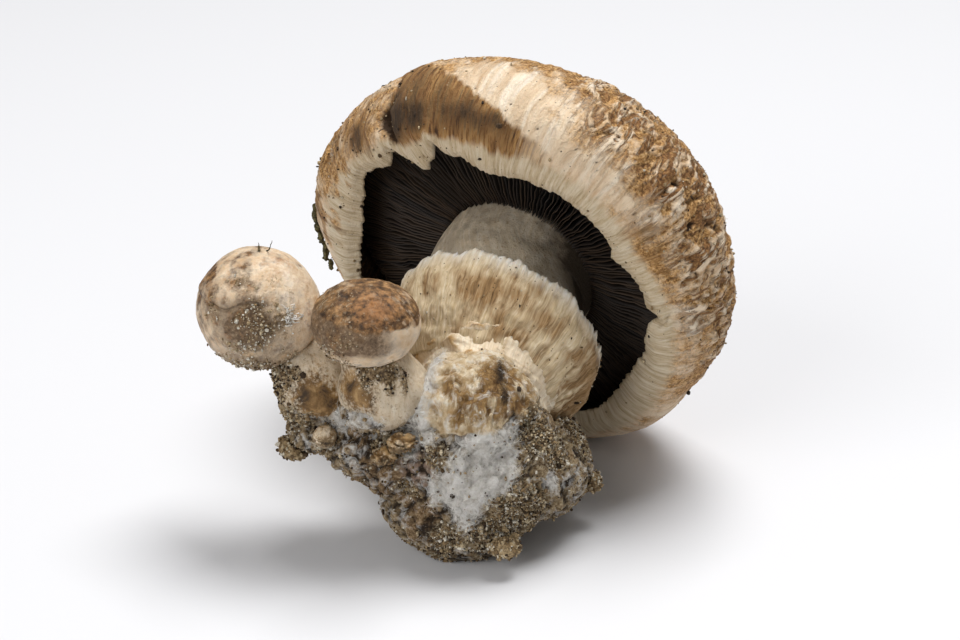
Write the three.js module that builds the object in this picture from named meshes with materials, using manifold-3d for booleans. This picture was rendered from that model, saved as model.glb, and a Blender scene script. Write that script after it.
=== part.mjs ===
// Button mushroom: a big open-capped mushroom grown in one cluster with two young ones,
// picked with its clump of mycelium and casing soil, and lying on a table on the clump and the cap's rim.
// Millimetres, +Z up. The origin is the middle of the footprint, on the table.
import * as THREE from 'three';
import { mergeVertices } from 'three/addons/utils/BufferGeometryUtils.js';
import Module from 'manifold-3d';

const wasm = await Module();
wasm.setup();

// ---- driving dimensions -------------------------------------------------------------------

const GAP = 0.3;                    // clearance kept between pieces that touch
const FOOTPRINT_MIDDLE = [-2.07, 12.5]; // where the footprint's middle falls in the layout below

// The cap: a shallow bowl turned about its own axis, with its opening towards the viewer's left.
const CAP_CENTRE = new THREE.Vector3(5.7, 16.8, 44.5);      // middle of the opening
const CAP_TO_STEM = new THREE.Vector3(-0.485, -0.8, -0.352).normalize();
const CAP_RADIUS = 52.3;
const CAP_SIDES = 44;
const CAP_HEIGHT = 38.2;
const FLESH_UNDERSIDE = 14.5;       // height of the flesh above the opening
const GILL_INNER_RADIUS = 22.4;
const GILL_OUTER_RADIUS = 43.3;
const GILL_EDGE = 6.4;              // height of the gills' free edge above the opening

// The stem: a bent, tapering column from the flesh down to its swollen foot.
const STEM_POINTS = [
  [5.7, 16.8, 44.5, 20.3],
  [4.6, 4.0, 38.8, 18.6],
  [1.8, -8.0, 35.6, 17.9],
  [-0.6, -20.0, 32.0, 14.0],
];
const STEM_TOP_RADIUS = 21.2;
const STEM_FOOT = { centre: [-0.4, -24, 33.6], radii: [13.4, 13, 13.4], lumps: 0.05, seed: 3 };

// The ring: what is left of the veil, a thick skirt round the stem.
const RING_CENTRE = new THREE.Vector3(4.3, 4.0, 38.6);
const RING_AXIS = new THREE.Vector3(-0.364, -0.83, -0.419).normalize();

// The clump of mycelium and casing soil, as overlapping lumps.
const CLUMP_LUMPS = [
  { centre: [-2.2, -19, 18.3], radii: [21, 20, 19], lumps: 0.05, seed: 1, detail: 5 },
  { centre: [-5.0, -24, 10.7], radii: [17, 14, 11.7], lumps: 0.06, seed: 2, detail: 3 },
  { centre: [14.0, -16, 15.8], radii: [11, 14, 12], lumps: 0.06, seed: 4, detail: 3 },
  { centre: [-20.1, -20, 24.2], radii: [15, 12, 9], lumps: 0.07, seed: 5, detail: 3 },
  { centre: [-34.0, -18, 27.6], radii: [8.6, 9, 7.6], lumps: 0.07, seed: 6, detail: 3 },
];

// The two young mushrooms, each a closed cap on a short swollen stem.
const YOUNG_LEFT = {
  cap: { centre: [-47.7, -16, 54], radii: [13.3, 13.2, 13.2], lumps: 0.03, seed: 7, detail: 4 },
  stem: [[-45.2, -16.4, 50.6, 5.0], [-42.2, -17, 46.6, 5.4], [-38.6, -18, 42.0, 7.0], [-36.0, -18.4, 38.5, 7.6]],
  bulb: { centre: [-35.0, -18.4, 36.8], radii: [9.2, 9.2, 8.6], lumps: 0.05, seed: 8, detail: 3 },
};
const YOUNG_RIGHT = {
  cap: { centre: [-24, -27, 55.4], radii: [11.7, 11.6, 8.8], lumps: 0.03, seed: 9, detail: 4 },
  stem: [[-23.6, -27, 53.2, 6.6], [-22.8, -26.6, 47.4, 7.0], [-21.4, -26.2, 43.0, 8.2], [-20.6, -26, 40.6, 8.6]],
  bulb: { centre: [-20.3, -26, 39.4], radii: [9.9, 9.6, 8.4], lumps: 0.06, seed: 10, detail: 3 },
};

// Small things on the cluster: undeveloped pinheads, lumps of soil, and flakes of bark on the cap.
const PINHEADS = {
  pinhead_left: { centre: [-33.4, -27.6, 28.9], radii: [2.7, 2.6, 2.7], lumps: 0.04, seed: 11, detail: 2 },
  pinhead_dried_upper: { centre: [-16.6, -34.4, 30.6], radii: [3.4, 2.6, 2.4], lumps: 0.14, seed: 12, detail: 2 },
  pinhead_dried_lower: { centre: [-20.6, -33.0, 26.8], radii: [2.8, 2.4, 2.0], lumps: 0.14, seed: 13, detail: 2 },
};
const SOIL_CRUMBS = {
  soil_crumb_left: { centre: [-40.6, -20.5, 22.8], radii: [3.6, 3.2, 2.7], lumps: 0.12, seed: 14, detail: 2 },
  soil_crumb_right: { centre: [24.6, -15, 11.6], radii: [2.3, 2.4, 2.4], lumps: 0.12, seed: 15, detail: 2 },
  soil_crumb_front: { centre: [5.4, -37, 7.0], radii: [3.6, 2.8, 2.2], lumps: 0.12, seed: 16, detail: 2 },
};
const BARK_FLAKES = {
  bark_flake_upper: { around: 5, height: 6.4, length: 6.4, width: 3.4, thickness: 0.9, turn: 0.5 },
  bark_flake_lower: { around: -4, height: 6.0, length: 7.6, width: 3.6, thickness: 0.9, turn: -0.4 },
};

// ---- solids -------------------------------------------------------------------------------

function toSolid(geometry) {
  const bare = geometry.index ? geometry.clone() : geometry;
  bare.deleteAttribute('normal');
  bare.deleteAttribute('uv');
  const merged = mergeVertices(bare, 1e-4);
  return new wasm.Manifold(new wasm.Mesh({
    numProp: 3,
    vertProperties: new Float32Array(merged.attributes.position.array),
    triVerts: new Uint32Array(merged.index.array),
  }));
}

function toGeometry(solid) {
  const mesh = solid.getMesh();
  const geometry = new THREE.BufferGeometry();
  geometry.setAttribute('position', new THREE.BufferAttribute(mesh.vertProperties, 3));
  geometry.setIndex(new THREE.BufferAttribute(mesh.triVerts, 1));
  geometry.computeVertexNormals();
  return geometry;
}

function joined(solids) {
  return solids.reduce((whole, solid) => whole.add(solid));
}

// Closes a stack of rings, each a loop of the same number of points, with a fan at each end.
function closedSkin(rings) {
  const around = rings[0].length;
  const points = rings.flat();
  const faces = [];
  for (let ring = 0; ring + 1 < rings.length; ring += 1) {
    for (let step = 0; step < around; step += 1) {
      const here = ring * around + step;
      const next = ring * around + (step + 1) % around;
      faces.push(here, next, next + around, here, next + around, here + around);
    }
  }
  for (const [ring, flip] of [[rings[0], true], [rings[rings.length - 1], false]]) {
    const start = flip ? 0 : (rings.length - 1) * around;
    const middle = ring.reduce((sum, point) => sum.add(point), new THREE.Vector3()).divideScalar(around);
    points.push(middle);
    for (let step = 0; step < around; step += 1) {
      const here = start + step;
      const next = start + (step + 1) % around;
      faces.push(points.length - 1, flip ? next : here, flip ? here : next);
    }
  }
  const geometry = new THREE.BufferGeometry().setFromPoints(points);
  geometry.setIndex(faces);
  return geometry;
}

// A slow swelling over a direction, between about -1 and 1, so that nothing grown is a perfect ball.
function swelling(direction, seed) {
  const { x, y, z } = direction;
  return 0.5 * Math.sin(2.3 * x + 3.1 * y + seed) + 0.3 * Math.sin(4.1 * z - 2.7 * x + 2.3 * seed)
    + 0.2 * Math.sin(5.3 * y + 3.7 * z + 4.1 * seed);
}

function lump({ centre, radii, lumps, seed, detail = 3 }, grow = 0) {
  const geometry = new THREE.IcosahedronGeometry(1, detail);
  const position = geometry.attributes.position;
  const direction = new THREE.Vector3();
  for (let index = 0; index < position.count; index += 1) {
    direction.fromBufferAttribute(position, index).normalize();
    const scale = 1 + lumps * swelling(direction, seed);
    position.setXYZ(
      index,
      centre[0] + direction.x * (radii[0] * scale + grow),
      centre[1] + direction.y * (radii[1] * scale + grow),
      centre[2] + direction.z * (radii[2] * scale + grow),
    );
  }
  return toSolid(geometry);
}

// The three directions of a turned piece: two across its axis, the second pointing up, and the axis.
function frameAlong(axis) {
  const across = new THREE.Vector3(0, 0, 1).cross(axis).normalize();
  const up = new THREE.Vector3().crossVectors(axis, across).normalize();
  return { across, up, axis };
}

function ringOfPoints(frame, centre, radiusAt, height, around) {
  const points = [];
  for (let step = 0; step < around; step += 1) {
    const angle = (2 * Math.PI * step) / around;
    const radius = radiusAt(angle);
    points.push(centre.clone()
      .addScaledVector(frame.across, radius * Math.cos(angle))
      .addScaledVector(frame.up, radius * Math.sin(angle))
      .addScaledVector(frame.axis, height));
  }
  return points;
}

// A column whose middle line runs smoothly through [x, y, z, radius] points.
function column(points, { grow, around, rings }) {
  const line = new THREE.CatmullRomCurve3(points.map(([x, y, z]) => new THREE.Vector3(x, y, z)));
  const radii = new THREE.SplineCurve(points.map(([, , , radius], index) => new THREE.Vector2(index, radius)));
  const stack = [];
  for (let ring = 0; ring <= rings; ring += 1) {
    const share = ring / rings;
    const frame = frameAlong(line.getTangent(share).negate());
    const radius = radii.getPoint(share).y + grow;
    stack.push(ringOfPoints(frame, line.getPoint(share), () => radius, 0, around));
  }
  return toSolid(closedSkin(stack.reverse()));
}

const table = toSolid(new THREE.BoxGeometry(400, 400, 60).translate(0, 0, -30));

// ---- the big mushroom ---------------------------------------------------------------------

const capFrame = frameAlong(CAP_TO_STEM.clone().negate());

function bump(angle, middle, width) {
  const away = Math.atan2(Math.sin(angle - middle), Math.cos(angle - middle));
  return Math.exp(-((away / width) ** 2));
}

// The cap isn't round: it bulges at the viewer's left and is pressed flatter at its lower right.
function capRadiusScale(angle) {
  const bulge = 0.042 * bump(angle, 0.1, 0.65);
  const pressed = 0.06 * bump(angle, 3.62, 0.7);
  return 1 + bulge - pressed + 0.006 * Math.sin(3 * angle + 1) + 0.005 * Math.sin(5 * angle + 2);
}

function turnedPiece(profile, around, centre = CAP_CENTRE, frame = capFrame, scaleAt = capRadiusScale) {
  const stack = profile.map(([radius, height]) => {
    const radiusAt = (angle) => radius * (1 + (scaleAt(angle) - 1) * Math.min(1, radius / CAP_RADIUS));
    return ringOfPoints(frame, centre, radiusAt, height, around);
  });
  return closedSkin(stack);
}

// A ring-shaped piece: the profile closes on itself round a hole.
function hollowPiece(profile, around, centre, frame, scaleAt) {
  const open = turnedPiece(profile, around, centre, frame, scaleAt);
  const index = Array.from(open.index.array);
  const last = profile.length - 1;
  const faces = index.slice(0, 6 * around * last);
  for (let step = 0; step < around; step += 1) {
    const next = (step + 1) % around;
    faces.push(last * around + step, last * around + next, next, last * around + step, next, step);
  }
  const geometry = new THREE.BufferGeometry();
  const count = 3 * around * profile.length;
  geometry.setAttribute('position', new THREE.BufferAttribute(open.attributes.position.array.slice(0, count), 3));
  geometry.setIndex(faces);
  return geometry;
}

function capSolid() {
  const dome = new THREE.SplineCurve([
    [9, CAP_HEIGHT - 0.5], [17, 36.8], [32.5, 32.8], [44, 26.6], [50.4, 19], [CAP_RADIUS, 11.6],
    [50.6, 4.6], [46.6, 0.3], [42, -1.5], [38.7, -0.6],
  ].map(([radius, height]) => new THREE.Vector2(radius, height)));
  const outside = dome.getSpacedPoints(15).map(({ x, y }) => [x, y]);
  const inside = [[39.6, 1.5], [42.9, 4.2], [44.3, 8], [44, FLESH_UNDERSIDE], [22, FLESH_UNDERSIDE]];
  return toSolid(turnedPiece([...outside, ...inside].reverse(), CAP_SIDES)).subtract(table);
}

function gillsSolid() {
  const top = FLESH_UNDERSIDE - GAP;
  const inner = GILL_INNER_RADIUS;
  const outer = GILL_OUTER_RADIUS;
  const profile = [
    [inner, top], [outer, top], [outer, GILL_EDGE + 1.4], [outer - 2, GILL_EDGE],
    [inner + 2, GILL_EDGE + 0.4], [inner, GILL_EDGE + 2.4],
  ];
  return toSolid(hollowPiece(profile.reverse(), CAP_SIDES));
}

function stemSolid(grow = 0) {
  const top = CAP_CENTRE.clone().addScaledVector(capFrame.axis, FLESH_UNDERSIDE - GAP);
  const shaft = column([[...top.toArray(), STEM_TOP_RADIUS], ...STEM_POINTS], { grow, around: 26, rings: 9 });
  return shaft.add(lump(STEM_FOOT, grow));
}

function ringSkirt(grow = 0) {
  const inner = STEM_POINTS[1][3] - 2;
  const profile = [
    [inner, -14 - grow], [21.3 + grow, -13.6 - grow], [23.8 + grow, -9.4], [24.9 + grow, -4.4],
    [24.8 + grow, 0.6], [24.1, 2.4 + grow], [22.8, 1.4 + grow], [20.4, -3 + grow], [inner, -8 + grow],
  ];
  return toSolid(hollowPiece(profile, 32, RING_CENTRE, frameAlong(RING_AXIS.clone().negate()), () => 1));
}

function ringSolid() {
  return ringSkirt().subtract(stemSolid(GAP));
}

// ---- the cluster round its foot -----------------------------------------------------------

function youngStem({ stem, bulb }, grow = 0) {
  return column(stem, { grow, around: 16, rings: 5 }).add(lump(bulb, grow));
}

// A young stem stops short of its own cap and of the big stem's foot beside it.
function youngStemInPlace(young) {
  return youngStem(young).subtract(lump(young.cap, GAP)).subtract(stemSolid(GAP));
}

function clumpSolid() {
  const grown = [stemSolid(GAP), ringSkirt(GAP), youngStem(YOUNG_LEFT, GAP), youngStem(YOUNG_RIGHT, GAP)];
  const pinheads = Object.values(PINHEADS).map((pinhead) => lump(pinhead, GAP));
  return joined(CLUMP_LUMPS.map((one) => lump(one))).subtract(joined([...grown, ...pinheads])).subtract(table);
}

function crumbSolid(crumb) {
  return lump(crumb).subtract(joined(CLUMP_LUMPS.map((one) => lump(one, GAP))));
}

// A flake of bark lies flat on the cap's side, a fraction of a millimetre clear of it.
function flakeSolid({ around, height, length, width, thickness, turn }) {
  const angle = THREE.MathUtils.degToRad(around);
  const radius = 51.0 * capRadiusScale(angle) + thickness / 2 + GAP;
  const outward = capFrame.across.clone().multiplyScalar(Math.cos(angle))
    .addScaledVector(capFrame.up, Math.sin(angle));
  const sideways = new THREE.Vector3().crossVectors(capFrame.axis, outward);
  const place = new THREE.Matrix4().makeBasis(outward, sideways, capFrame.axis);
  place.setPosition(CAP_CENTRE.clone().addScaledVector(outward, radius).addScaledVector(capFrame.axis, height));
  const outline = new THREE.Shape();
  const corners = 9;
  for (let corner = 0; corner < corners; corner += 1) {
    const way = (2 * Math.PI * corner) / corners;
    const reach = 0.5 + 0.07 * Math.sin(3 * way + length) + 0.05 * Math.sin(5 * way + width);
    const point = new THREE.Vector2(reach * width * Math.cos(way), reach * length * Math.sin(way));
    point.rotateAround(new THREE.Vector2(), turn);
    outline[corner ? 'lineTo' : 'moveTo'](point.x, point.y);
  }
  const flake = new THREE.ExtrudeGeometry(outline, { depth: thickness, bevelEnabled: false });
  flake.translate(0, 0, -thickness / 2).rotateY(Math.PI / 2).applyMatrix4(place);
  return toSolid(flake).subtract(capSolidGrown);
}

// ---- the whole cluster --------------------------------------------------------------------

const capSolidGrown = toSolid(turnedPiece([
  [20, -1], [49, -0.9], [52.2, 3.6], [CAP_RADIUS + 0.9, 11.6], [51.4, 19.2], [44.6, 27.2], [20, 40],
], CAP_SIDES));

const FINISHES = {
  cap: ['#d3bda2', 0.8],
  gills: ['#2b211c', 0.9],
  stem: ['#cdbfa9', 0.7],
  ring: ['#d6c6a8', 0.85],
  clump: ['#8f7f6b', 0.95],
  young_cap: ['#b59a80', 0.75],
  young_stem: ['#cbb999', 0.8],
  pinhead: ['#a98f70', 0.8],
  soil: ['#5b4a3a', 0.95],
  bark: ['#5f5636', 0.9],
};

const cluster = new THREE.Group();
cluster.position.set(-FOOTPRINT_MIDDLE[0], -FOOTPRINT_MIDDLE[1], 0);

function place(name, solid, finish) {
  const [color, roughness] = FINISHES[finish];
  const mesh = new THREE.Mesh(
    toGeometry(solid),
    new THREE.MeshStandardMaterial({ color, roughness, metalness: 0 }),
  );
  mesh.name = name;
  cluster.add(mesh);
}

place('cap', capSolid(), 'cap');
place('gills', gillsSolid(), 'gills');
place('stem', stemSolid(), 'stem');
place('ring', ringSolid(), 'ring');
place('mycelium_clump', clumpSolid(), 'clump');
place('young_left_cap', lump(YOUNG_LEFT.cap), 'young_cap');
place('young_left_stem', youngStemInPlace(YOUNG_LEFT), 'young_stem');
place('young_right_cap', lump(YOUNG_RIGHT.cap), 'young_cap');
place('young_right_stem', youngStemInPlace(YOUNG_RIGHT).subtract(youngStem(YOUNG_LEFT, GAP)), 'young_stem');
for (const [name, pinhead] of Object.entries(PINHEADS)) {
  place(name, lump(pinhead), 'pinhead');
}
for (const [name, crumb] of Object.entries(SOIL_CRUMBS)) {
  place(name, crumbSolid(crumb), 'soil');
}
for (const [name, flake] of Object.entries(BARK_FLAKES)) {
  place(name, flakeSolid(flake), 'bark');
}

export default cluster;
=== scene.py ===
"""Looks of the picked mushroom cluster: skin, gills, veil, mycelium and soil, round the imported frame."""

import math

import bmesh
import bpy
import numpy as np
from mathutils import Matrix, Vector


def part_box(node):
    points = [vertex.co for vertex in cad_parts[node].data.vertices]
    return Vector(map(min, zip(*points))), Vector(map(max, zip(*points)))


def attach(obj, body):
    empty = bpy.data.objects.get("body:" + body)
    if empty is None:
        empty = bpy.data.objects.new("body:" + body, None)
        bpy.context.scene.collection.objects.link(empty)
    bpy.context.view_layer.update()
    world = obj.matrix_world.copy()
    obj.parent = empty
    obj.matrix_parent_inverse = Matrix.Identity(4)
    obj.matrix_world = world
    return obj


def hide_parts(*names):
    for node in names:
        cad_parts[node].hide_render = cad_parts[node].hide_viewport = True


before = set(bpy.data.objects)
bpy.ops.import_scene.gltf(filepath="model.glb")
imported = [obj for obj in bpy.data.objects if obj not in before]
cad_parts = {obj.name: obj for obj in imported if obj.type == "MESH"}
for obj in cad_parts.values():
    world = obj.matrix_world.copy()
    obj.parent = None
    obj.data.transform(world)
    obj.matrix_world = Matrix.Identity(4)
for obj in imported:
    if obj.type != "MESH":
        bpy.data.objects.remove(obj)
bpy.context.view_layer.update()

# ---- driving sizes, in millimetres, in the frame's own place --------------------------------

MM = 0.001
UP = np.array([0.0, 0.0, 1.0])

CAP_CENTRE = np.array([7.77, 4.3, 44.5])
CAP_TO_STEM = np.array([-0.485, -0.8, -0.352])
CAP_RADIUS = 52.3
CAP_HEIGHT = 38.2
FLESH_UNDERSIDE = 14.5
GILL_EDGE = 6.4
GILL_INNER_RADIUS = 18.2
GILL_OUTER_RADIUS = 43.0
FULL_GILLS = 176

STEM_LINE = np.array([
    [14.42, 15.77, 48.54, 18.9], [7.57, 4.3, 43.7, 18.6], [6.67, -8.5, 38.8, 18.2],
    [3.87, -20.5, 35.6, 17.9], [1.47, -32.5, 32.0, 14.0],
])
RING_CENTRE = np.array([6.37, -8.5, 38.6])
RING_AXIS = np.array([-0.364, -0.83, -0.419])

YOUNG_LEFT_CAP = np.array([-45.63, -28.5, 54.0])
YOUNG_LEFT_RADII = np.array([13.3, 13.2, 13.2])
YOUNG_RIGHT_CAP = np.array([-21.93, -39.5, 55.4])
YOUNG_RIGHT_RADII = np.array([11.7, 11.6, 8.8])

# Noise that is stretched by this runs up and down a stem.
STREAKED = np.array([1.0, 1.0, 0.4])

LOOK_AT = Vector((2.07, -12.5, 44)) * MM
CAMERA_AWAY = 592.6 * MM
CAMERA_LENS = 100
CAMERA_ELEVATION = math.radians(24)


# ---- noise, the same on every run -----------------------------------------------------------

dice = np.random.default_rng(20)
DIRECTIONS = dice.normal(size=(256, 3))
DIRECTIONS /= np.linalg.norm(DIRECTIONS, axis=1, keepdims=True)
OFFSETS = dice.random((1024, 3))
# Large odd numbers, which mix a cell's place and seed so that neighbours have nothing in common.
MIXERS = (73856093, 19349663, 83492791, 2654435761)


def cell_number(cells, seed):
    """A number for each cell of a lattice that looks random, but is the same each time for cell and seed."""
    across, along, up = cells.T
    mixed = across * MIXERS[0] ^ along * MIXERS[1] ^ up * MIXERS[2] ^ (seed + 1) * MIXERS[3]
    mixed = (mixed ^ (mixed >> 13)) * 1274126177
    return (mixed ^ (mixed >> 16)) & 0x7FFFFFFF


def smooth_noise(points, seed=0):
    """Gradient noise at each point of a lattice one unit wide, about -1 to 1."""
    base = np.floor(points).astype(np.int64)
    part = points - base
    fade = part ** 3 * (part * (part * 6 - 15) + 10)
    total = np.zeros(len(points))
    for corner in np.ndindex(2, 2, 2):
        corner = np.array(corner)
        gradient = DIRECTIONS[cell_number(base + corner, seed) & 255]
        weight = np.prod(np.where(corner, fade, 1 - fade), axis=1)
        total += weight * ((part - corner) * gradient).sum(1)
    return total * 1.6


def rough(points, size, octaves=4, seed=0, gain=0.5):
    """Layers of noise: the coarsest swells are about size across, and each next layer is half of that."""
    total = np.zeros(len(points))
    for octave in range(octaves):
        total += gain ** octave * smooth_noise(points / size * 2 ** octave, seed + 31 * octave)
    return total / sum(gain ** octave for octave in range(octaves))


def grains(points, size, seed=0):
    """Distance to the nearest of scattered centres, one in each cell of that size, in cells. Also the centre's
    own number, 0 to 1, and the way to it."""
    scaled = points / size
    base = np.floor(scaled).astype(np.int64)
    nearest = np.full(len(points), 9.0)
    number = np.zeros(len(points))
    way = np.zeros((len(points), 3))
    for corner in np.ndindex(3, 3, 3):
        cell = base + np.array(corner) - 1
        code = cell_number(cell, seed)
        gap = cell + OFFSETS[code & 1023] - scaled
        distance = np.linalg.norm(gap, axis=1)
        closer = distance < nearest
        nearest = np.where(closer, distance, nearest)
        number = np.where(closer, (code >> 10) % 1000 / 1000, number)
        way = np.where(closer[:, None], gap, way)
    return nearest, number, way


def between(value, low, high):
    """0 below low, 1 above high, and smooth between; it falls where high is the smaller."""
    share = np.clip((value - low) / (high - low), 0, 1)
    return share * share * (3 - 2 * share)


def creased(points, size, octaves=3, seed=0):
    """Crumpled skin: 1 in its thin creases and falling to 0 on the puffed skin between them."""
    total, most = np.zeros(len(points)), 0.0
    for octave in range(octaves):
        fold = 1 - np.abs(smooth_noise(points / size * 2 ** octave, seed + 17 * octave))
        total += 0.55 ** octave * fold
        most += 0.55 ** octave
    return total / most


def near(points, centre, radius):
    """1 at the centre and fading to nothing a little beyond the radius, which may differ by axis."""
    return np.exp(-(((points - np.array(centre)) / radius) ** 2).sum(1))


def near_spots(points, spots):
    """The sum over spots of near, each spot a centre and a radius, with an amount where it isn't 1."""
    return sum(np.prod(amount) * near(points, centre, radius) for centre, radius, *amount in spots)


def near_band(value, middle, half):
    """The same as near for a plain number, such as the way from the lip."""
    return np.exp(-(((value - middle) / half) ** 2))


def around(angle, middle, width):
    """The same as near_band for an angle in degrees, which may pass through 360."""
    away = (angle - middle + 180) % 360 - 180
    return np.exp(-((away / width) ** 2))


# ---- meshes ---------------------------------------------------------------------------------

def new_piece(name, finish, points, faces, marks=None, smooth=True):
    """One object in a finish, from points in millimetres and faces, with marks: numbers or directions kept at
    each point for its material."""
    mesh = bpy.data.meshes.new(name)
    mesh.vertices.add(len(points))
    mesh.vertices.foreach_set("co", np.ascontiguousarray(points * MM, dtype=np.float32).ravel())
    faces = np.asarray(faces, dtype=np.int32)
    corners = faces.shape[1]
    mesh.loops.add(faces.size)
    mesh.loops.foreach_set("vertex_index", faces.ravel())
    mesh.polygons.add(len(faces))
    mesh.polygons.foreach_set("loop_start", np.arange(0, faces.size, corners, dtype=np.int32))
    mesh.polygons.foreach_set("use_smooth", np.full(len(faces), smooth))
    mesh.update(calc_edges=True)
    for mark, values in (marks or {}).items():
        kind, field = ("FLOAT_VECTOR", "vector") if values.ndim == 2 else ("FLOAT", "value")
        layer = mesh.attributes.new(mark, kind, "POINT")
        layer.data.foreach_set(field, np.ascontiguousarray(values, dtype=np.float32).ravel())
    mesh.validate()
    mesh.materials.append(bpy.data.materials[finish])
    piece = bpy.data.objects.new(name, mesh)
    bpy.context.scene.collection.objects.link(piece)
    return piece


def grid_faces(rows, columns, wrap_rows=False):
    """Four-sided faces between the points of a grid whose columns go all the way round."""
    row = np.arange(rows if wrap_rows else rows - 1)[:, None]
    column = np.arange(columns)[None, :]
    start = row * columns
    below = (row + 1) % rows * columns
    right = (column + 1) % columns
    corners = [start + column, start + right, below + right, below + column]
    return np.stack(np.broadcast_arrays(*corners), -1).reshape(-1, 4)


def normals_of(points, faces):
    """The way out at each point, from the faces round it."""
    corners = points[faces]
    across = corners[:, 2] - corners[:, 0]
    other = corners[:, -1] - corners[:, 1]
    outward = np.cross(across, other)
    total = np.zeros_like(points)
    for corner in range(faces.shape[1]):
        for axis in range(3):
            total[:, axis] += np.bincount(faces[:, corner], outward[:, axis], len(points))
    return total / np.maximum(np.linalg.norm(total, axis=1, keepdims=True), 1e-9)


def smooth_line(points, count):
    """Evenly spaced points on a smooth curve through the given ones, and how far along it each one is."""
    steps = 24
    points = np.asarray(points, float)
    ends = np.vstack([2 * points[0] - points[1], points, 2 * points[-1] - points[-2]])
    found = []
    for start in range(len(points) - 1):
        before, first, second, after = ends[start:start + 4]
        share = np.linspace(0, 1, steps, endpoint=False)[:, None]
        found.append(first + 0.5 * share * (second - before + share * (
            2 * before - 5 * first + 4 * second - after + share * (3 * (first - second) + after - before))))
    found = np.vstack(found + [points[-1:]])
    length = np.r_[0, np.cumsum(np.linalg.norm(np.diff(found, axis=0), axis=1))]
    wanted = np.linspace(0, length[-1], count)
    return np.stack([np.interp(wanted, length, found[:, axis]) for axis in range(found.shape[1])], 1), wanted


def frame_along(axis):
    """Across, up and along for a piece turned about an axis."""
    axis = np.asarray(axis, float)
    axis = axis / np.linalg.norm(axis)
    across = np.cross(UP, axis)
    across = across / np.linalg.norm(across)
    return across, np.cross(axis, across), axis


def remeshed(node_name, voxel, smoothing, lumps=()):
    """A copy of a CAD node, with lumps given by middle and radii, melted into one even mesh: its points, faces
    and the way out at each point."""
    maker = bmesh.new()
    maker.from_mesh(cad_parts[node_name].data)
    for middle, radii in lumps:
        place = Matrix.Translation(Vector(middle) * MM) @ Matrix.Diagonal((*[size * MM for size in radii], 1))
        bmesh.ops.create_icosphere(maker, subdivisions=5, radius=1, matrix=place)
    mesh = bpy.data.meshes.new("melted")
    maker.to_mesh(mesh)
    maker.free()
    lump = bpy.data.objects.new("melted", mesh)
    bpy.context.scene.collection.objects.link(lump)
    melt = lump.modifiers.new("melt", "REMESH")
    melt.mode = "VOXEL"
    melt.voxel_size = voxel * MM
    ease = lump.modifiers.new("ease", "SMOOTH")
    ease.factor = 0.5
    ease.iterations = smoothing
    evaluated = lump.evaluated_get(bpy.context.evaluated_depsgraph_get())
    even = evaluated.to_mesh()
    points = np.empty(len(even.vertices) * 3)
    even.vertices.foreach_get("co", points)
    points = points.reshape(-1, 3) / MM
    faces = np.empty(len(even.polygons) * 4, dtype=np.int32)
    even.polygons.foreach_get("vertices", faces)
    evaluated.to_mesh_clear()
    bpy.data.objects.remove(lump)
    bpy.data.meshes.remove(mesh)
    faces = faces.reshape(-1, 4)
    return points, faces, normals_of(points, faces)


def ball(divisions):
    """The points and three-sided faces of an even ball one unit in radius."""
    maker = bmesh.new()
    bmesh.ops.create_icosphere(maker, subdivisions=divisions, radius=1)
    maker.verts.index_update()
    points = np.array([corner.co for corner in maker.verts])
    faces = np.array([[corner.index for corner in face.verts] for face in maker.faces])
    maker.free()
    return points / np.linalg.norm(points, axis=1, keepdims=True), faces


# ---- materials ------------------------------------------------------------------------------

# Sockets of a colour Mix node, which share their names.
FACTOR, FIRST, SECOND, MIXED = 0, 6, 7, 2
# The marks that are directions. The rest are numbers.
DIRECTION_MARKS = ("grain", "lengthways")


# Flesh is mostly water in thin walls, and soil and bark are dry. Light goes this many millimetres into
# flesh, red the furthest.
FLESH_IOR = 1.4
DRY_IOR = 1.45
LIGHT_REACH = (1.6, 0.9, 0.5)


def linear(hex_colour):
    """An sRGB hex colour as linear red, green, blue and alpha."""
    parts = [int(hex_colour[place:place + 2], 16) / 255 for place in (1, 3, 5)]
    return (*[part / 12.92 if part <= 0.04045 else ((part + 0.055) / 1.055) ** 2.4 for part in parts], 1)


def per_mm(size):
    """The scale that makes a pattern's coarsest swells that many millimetres across. Real fibres, threads and
    spores are a tenth of a millimetre or less, too fine to show, so their patterns start at 0.4 to 1 mm."""
    return 1 / (size * MM)


def add(tree, kind, inputs=None, out=0, stops=None, **settings):
    """Adds a node with its settings and returns one of its outputs. Inputs are values, hex colours or outputs
    to link from, and stops fill a colour ramp."""
    made = tree.nodes.new("ShaderNode" + kind)
    for name, value in settings.items():
        setattr(made, name, value)
    for name, value in (inputs or {}).items():
        if isinstance(value, bpy.types.NodeSocket):
            tree.links.new(value, made.inputs[name])
        else:
            made.inputs[name].default_value = linear(value) if isinstance(value, str) else value
    for place, (position, colour) in enumerate(stops or []):
        ramp = made.color_ramp.elements
        element = ramp[place] if place < len(ramp) else ramp.new(position)
        element.position = position
        element.color = linear(colour) if isinstance(colour, str) else (colour, colour, colour, 1)
    return made.outputs[out] if made.outputs else made


def new_tree(name, *marks):
    """A new material's empty tree, and the outputs that read the marks which its meshes keep."""
    material = bpy.data.materials.new(name)
    material.use_nodes = True
    tree = material.node_tree
    tree.nodes.clear()
    return tree, {mark: add(tree, "Attribute", out=1 if mark in DIRECTION_MARKS else 2, attribute_name=mark)
                  for mark in marks}


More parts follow.
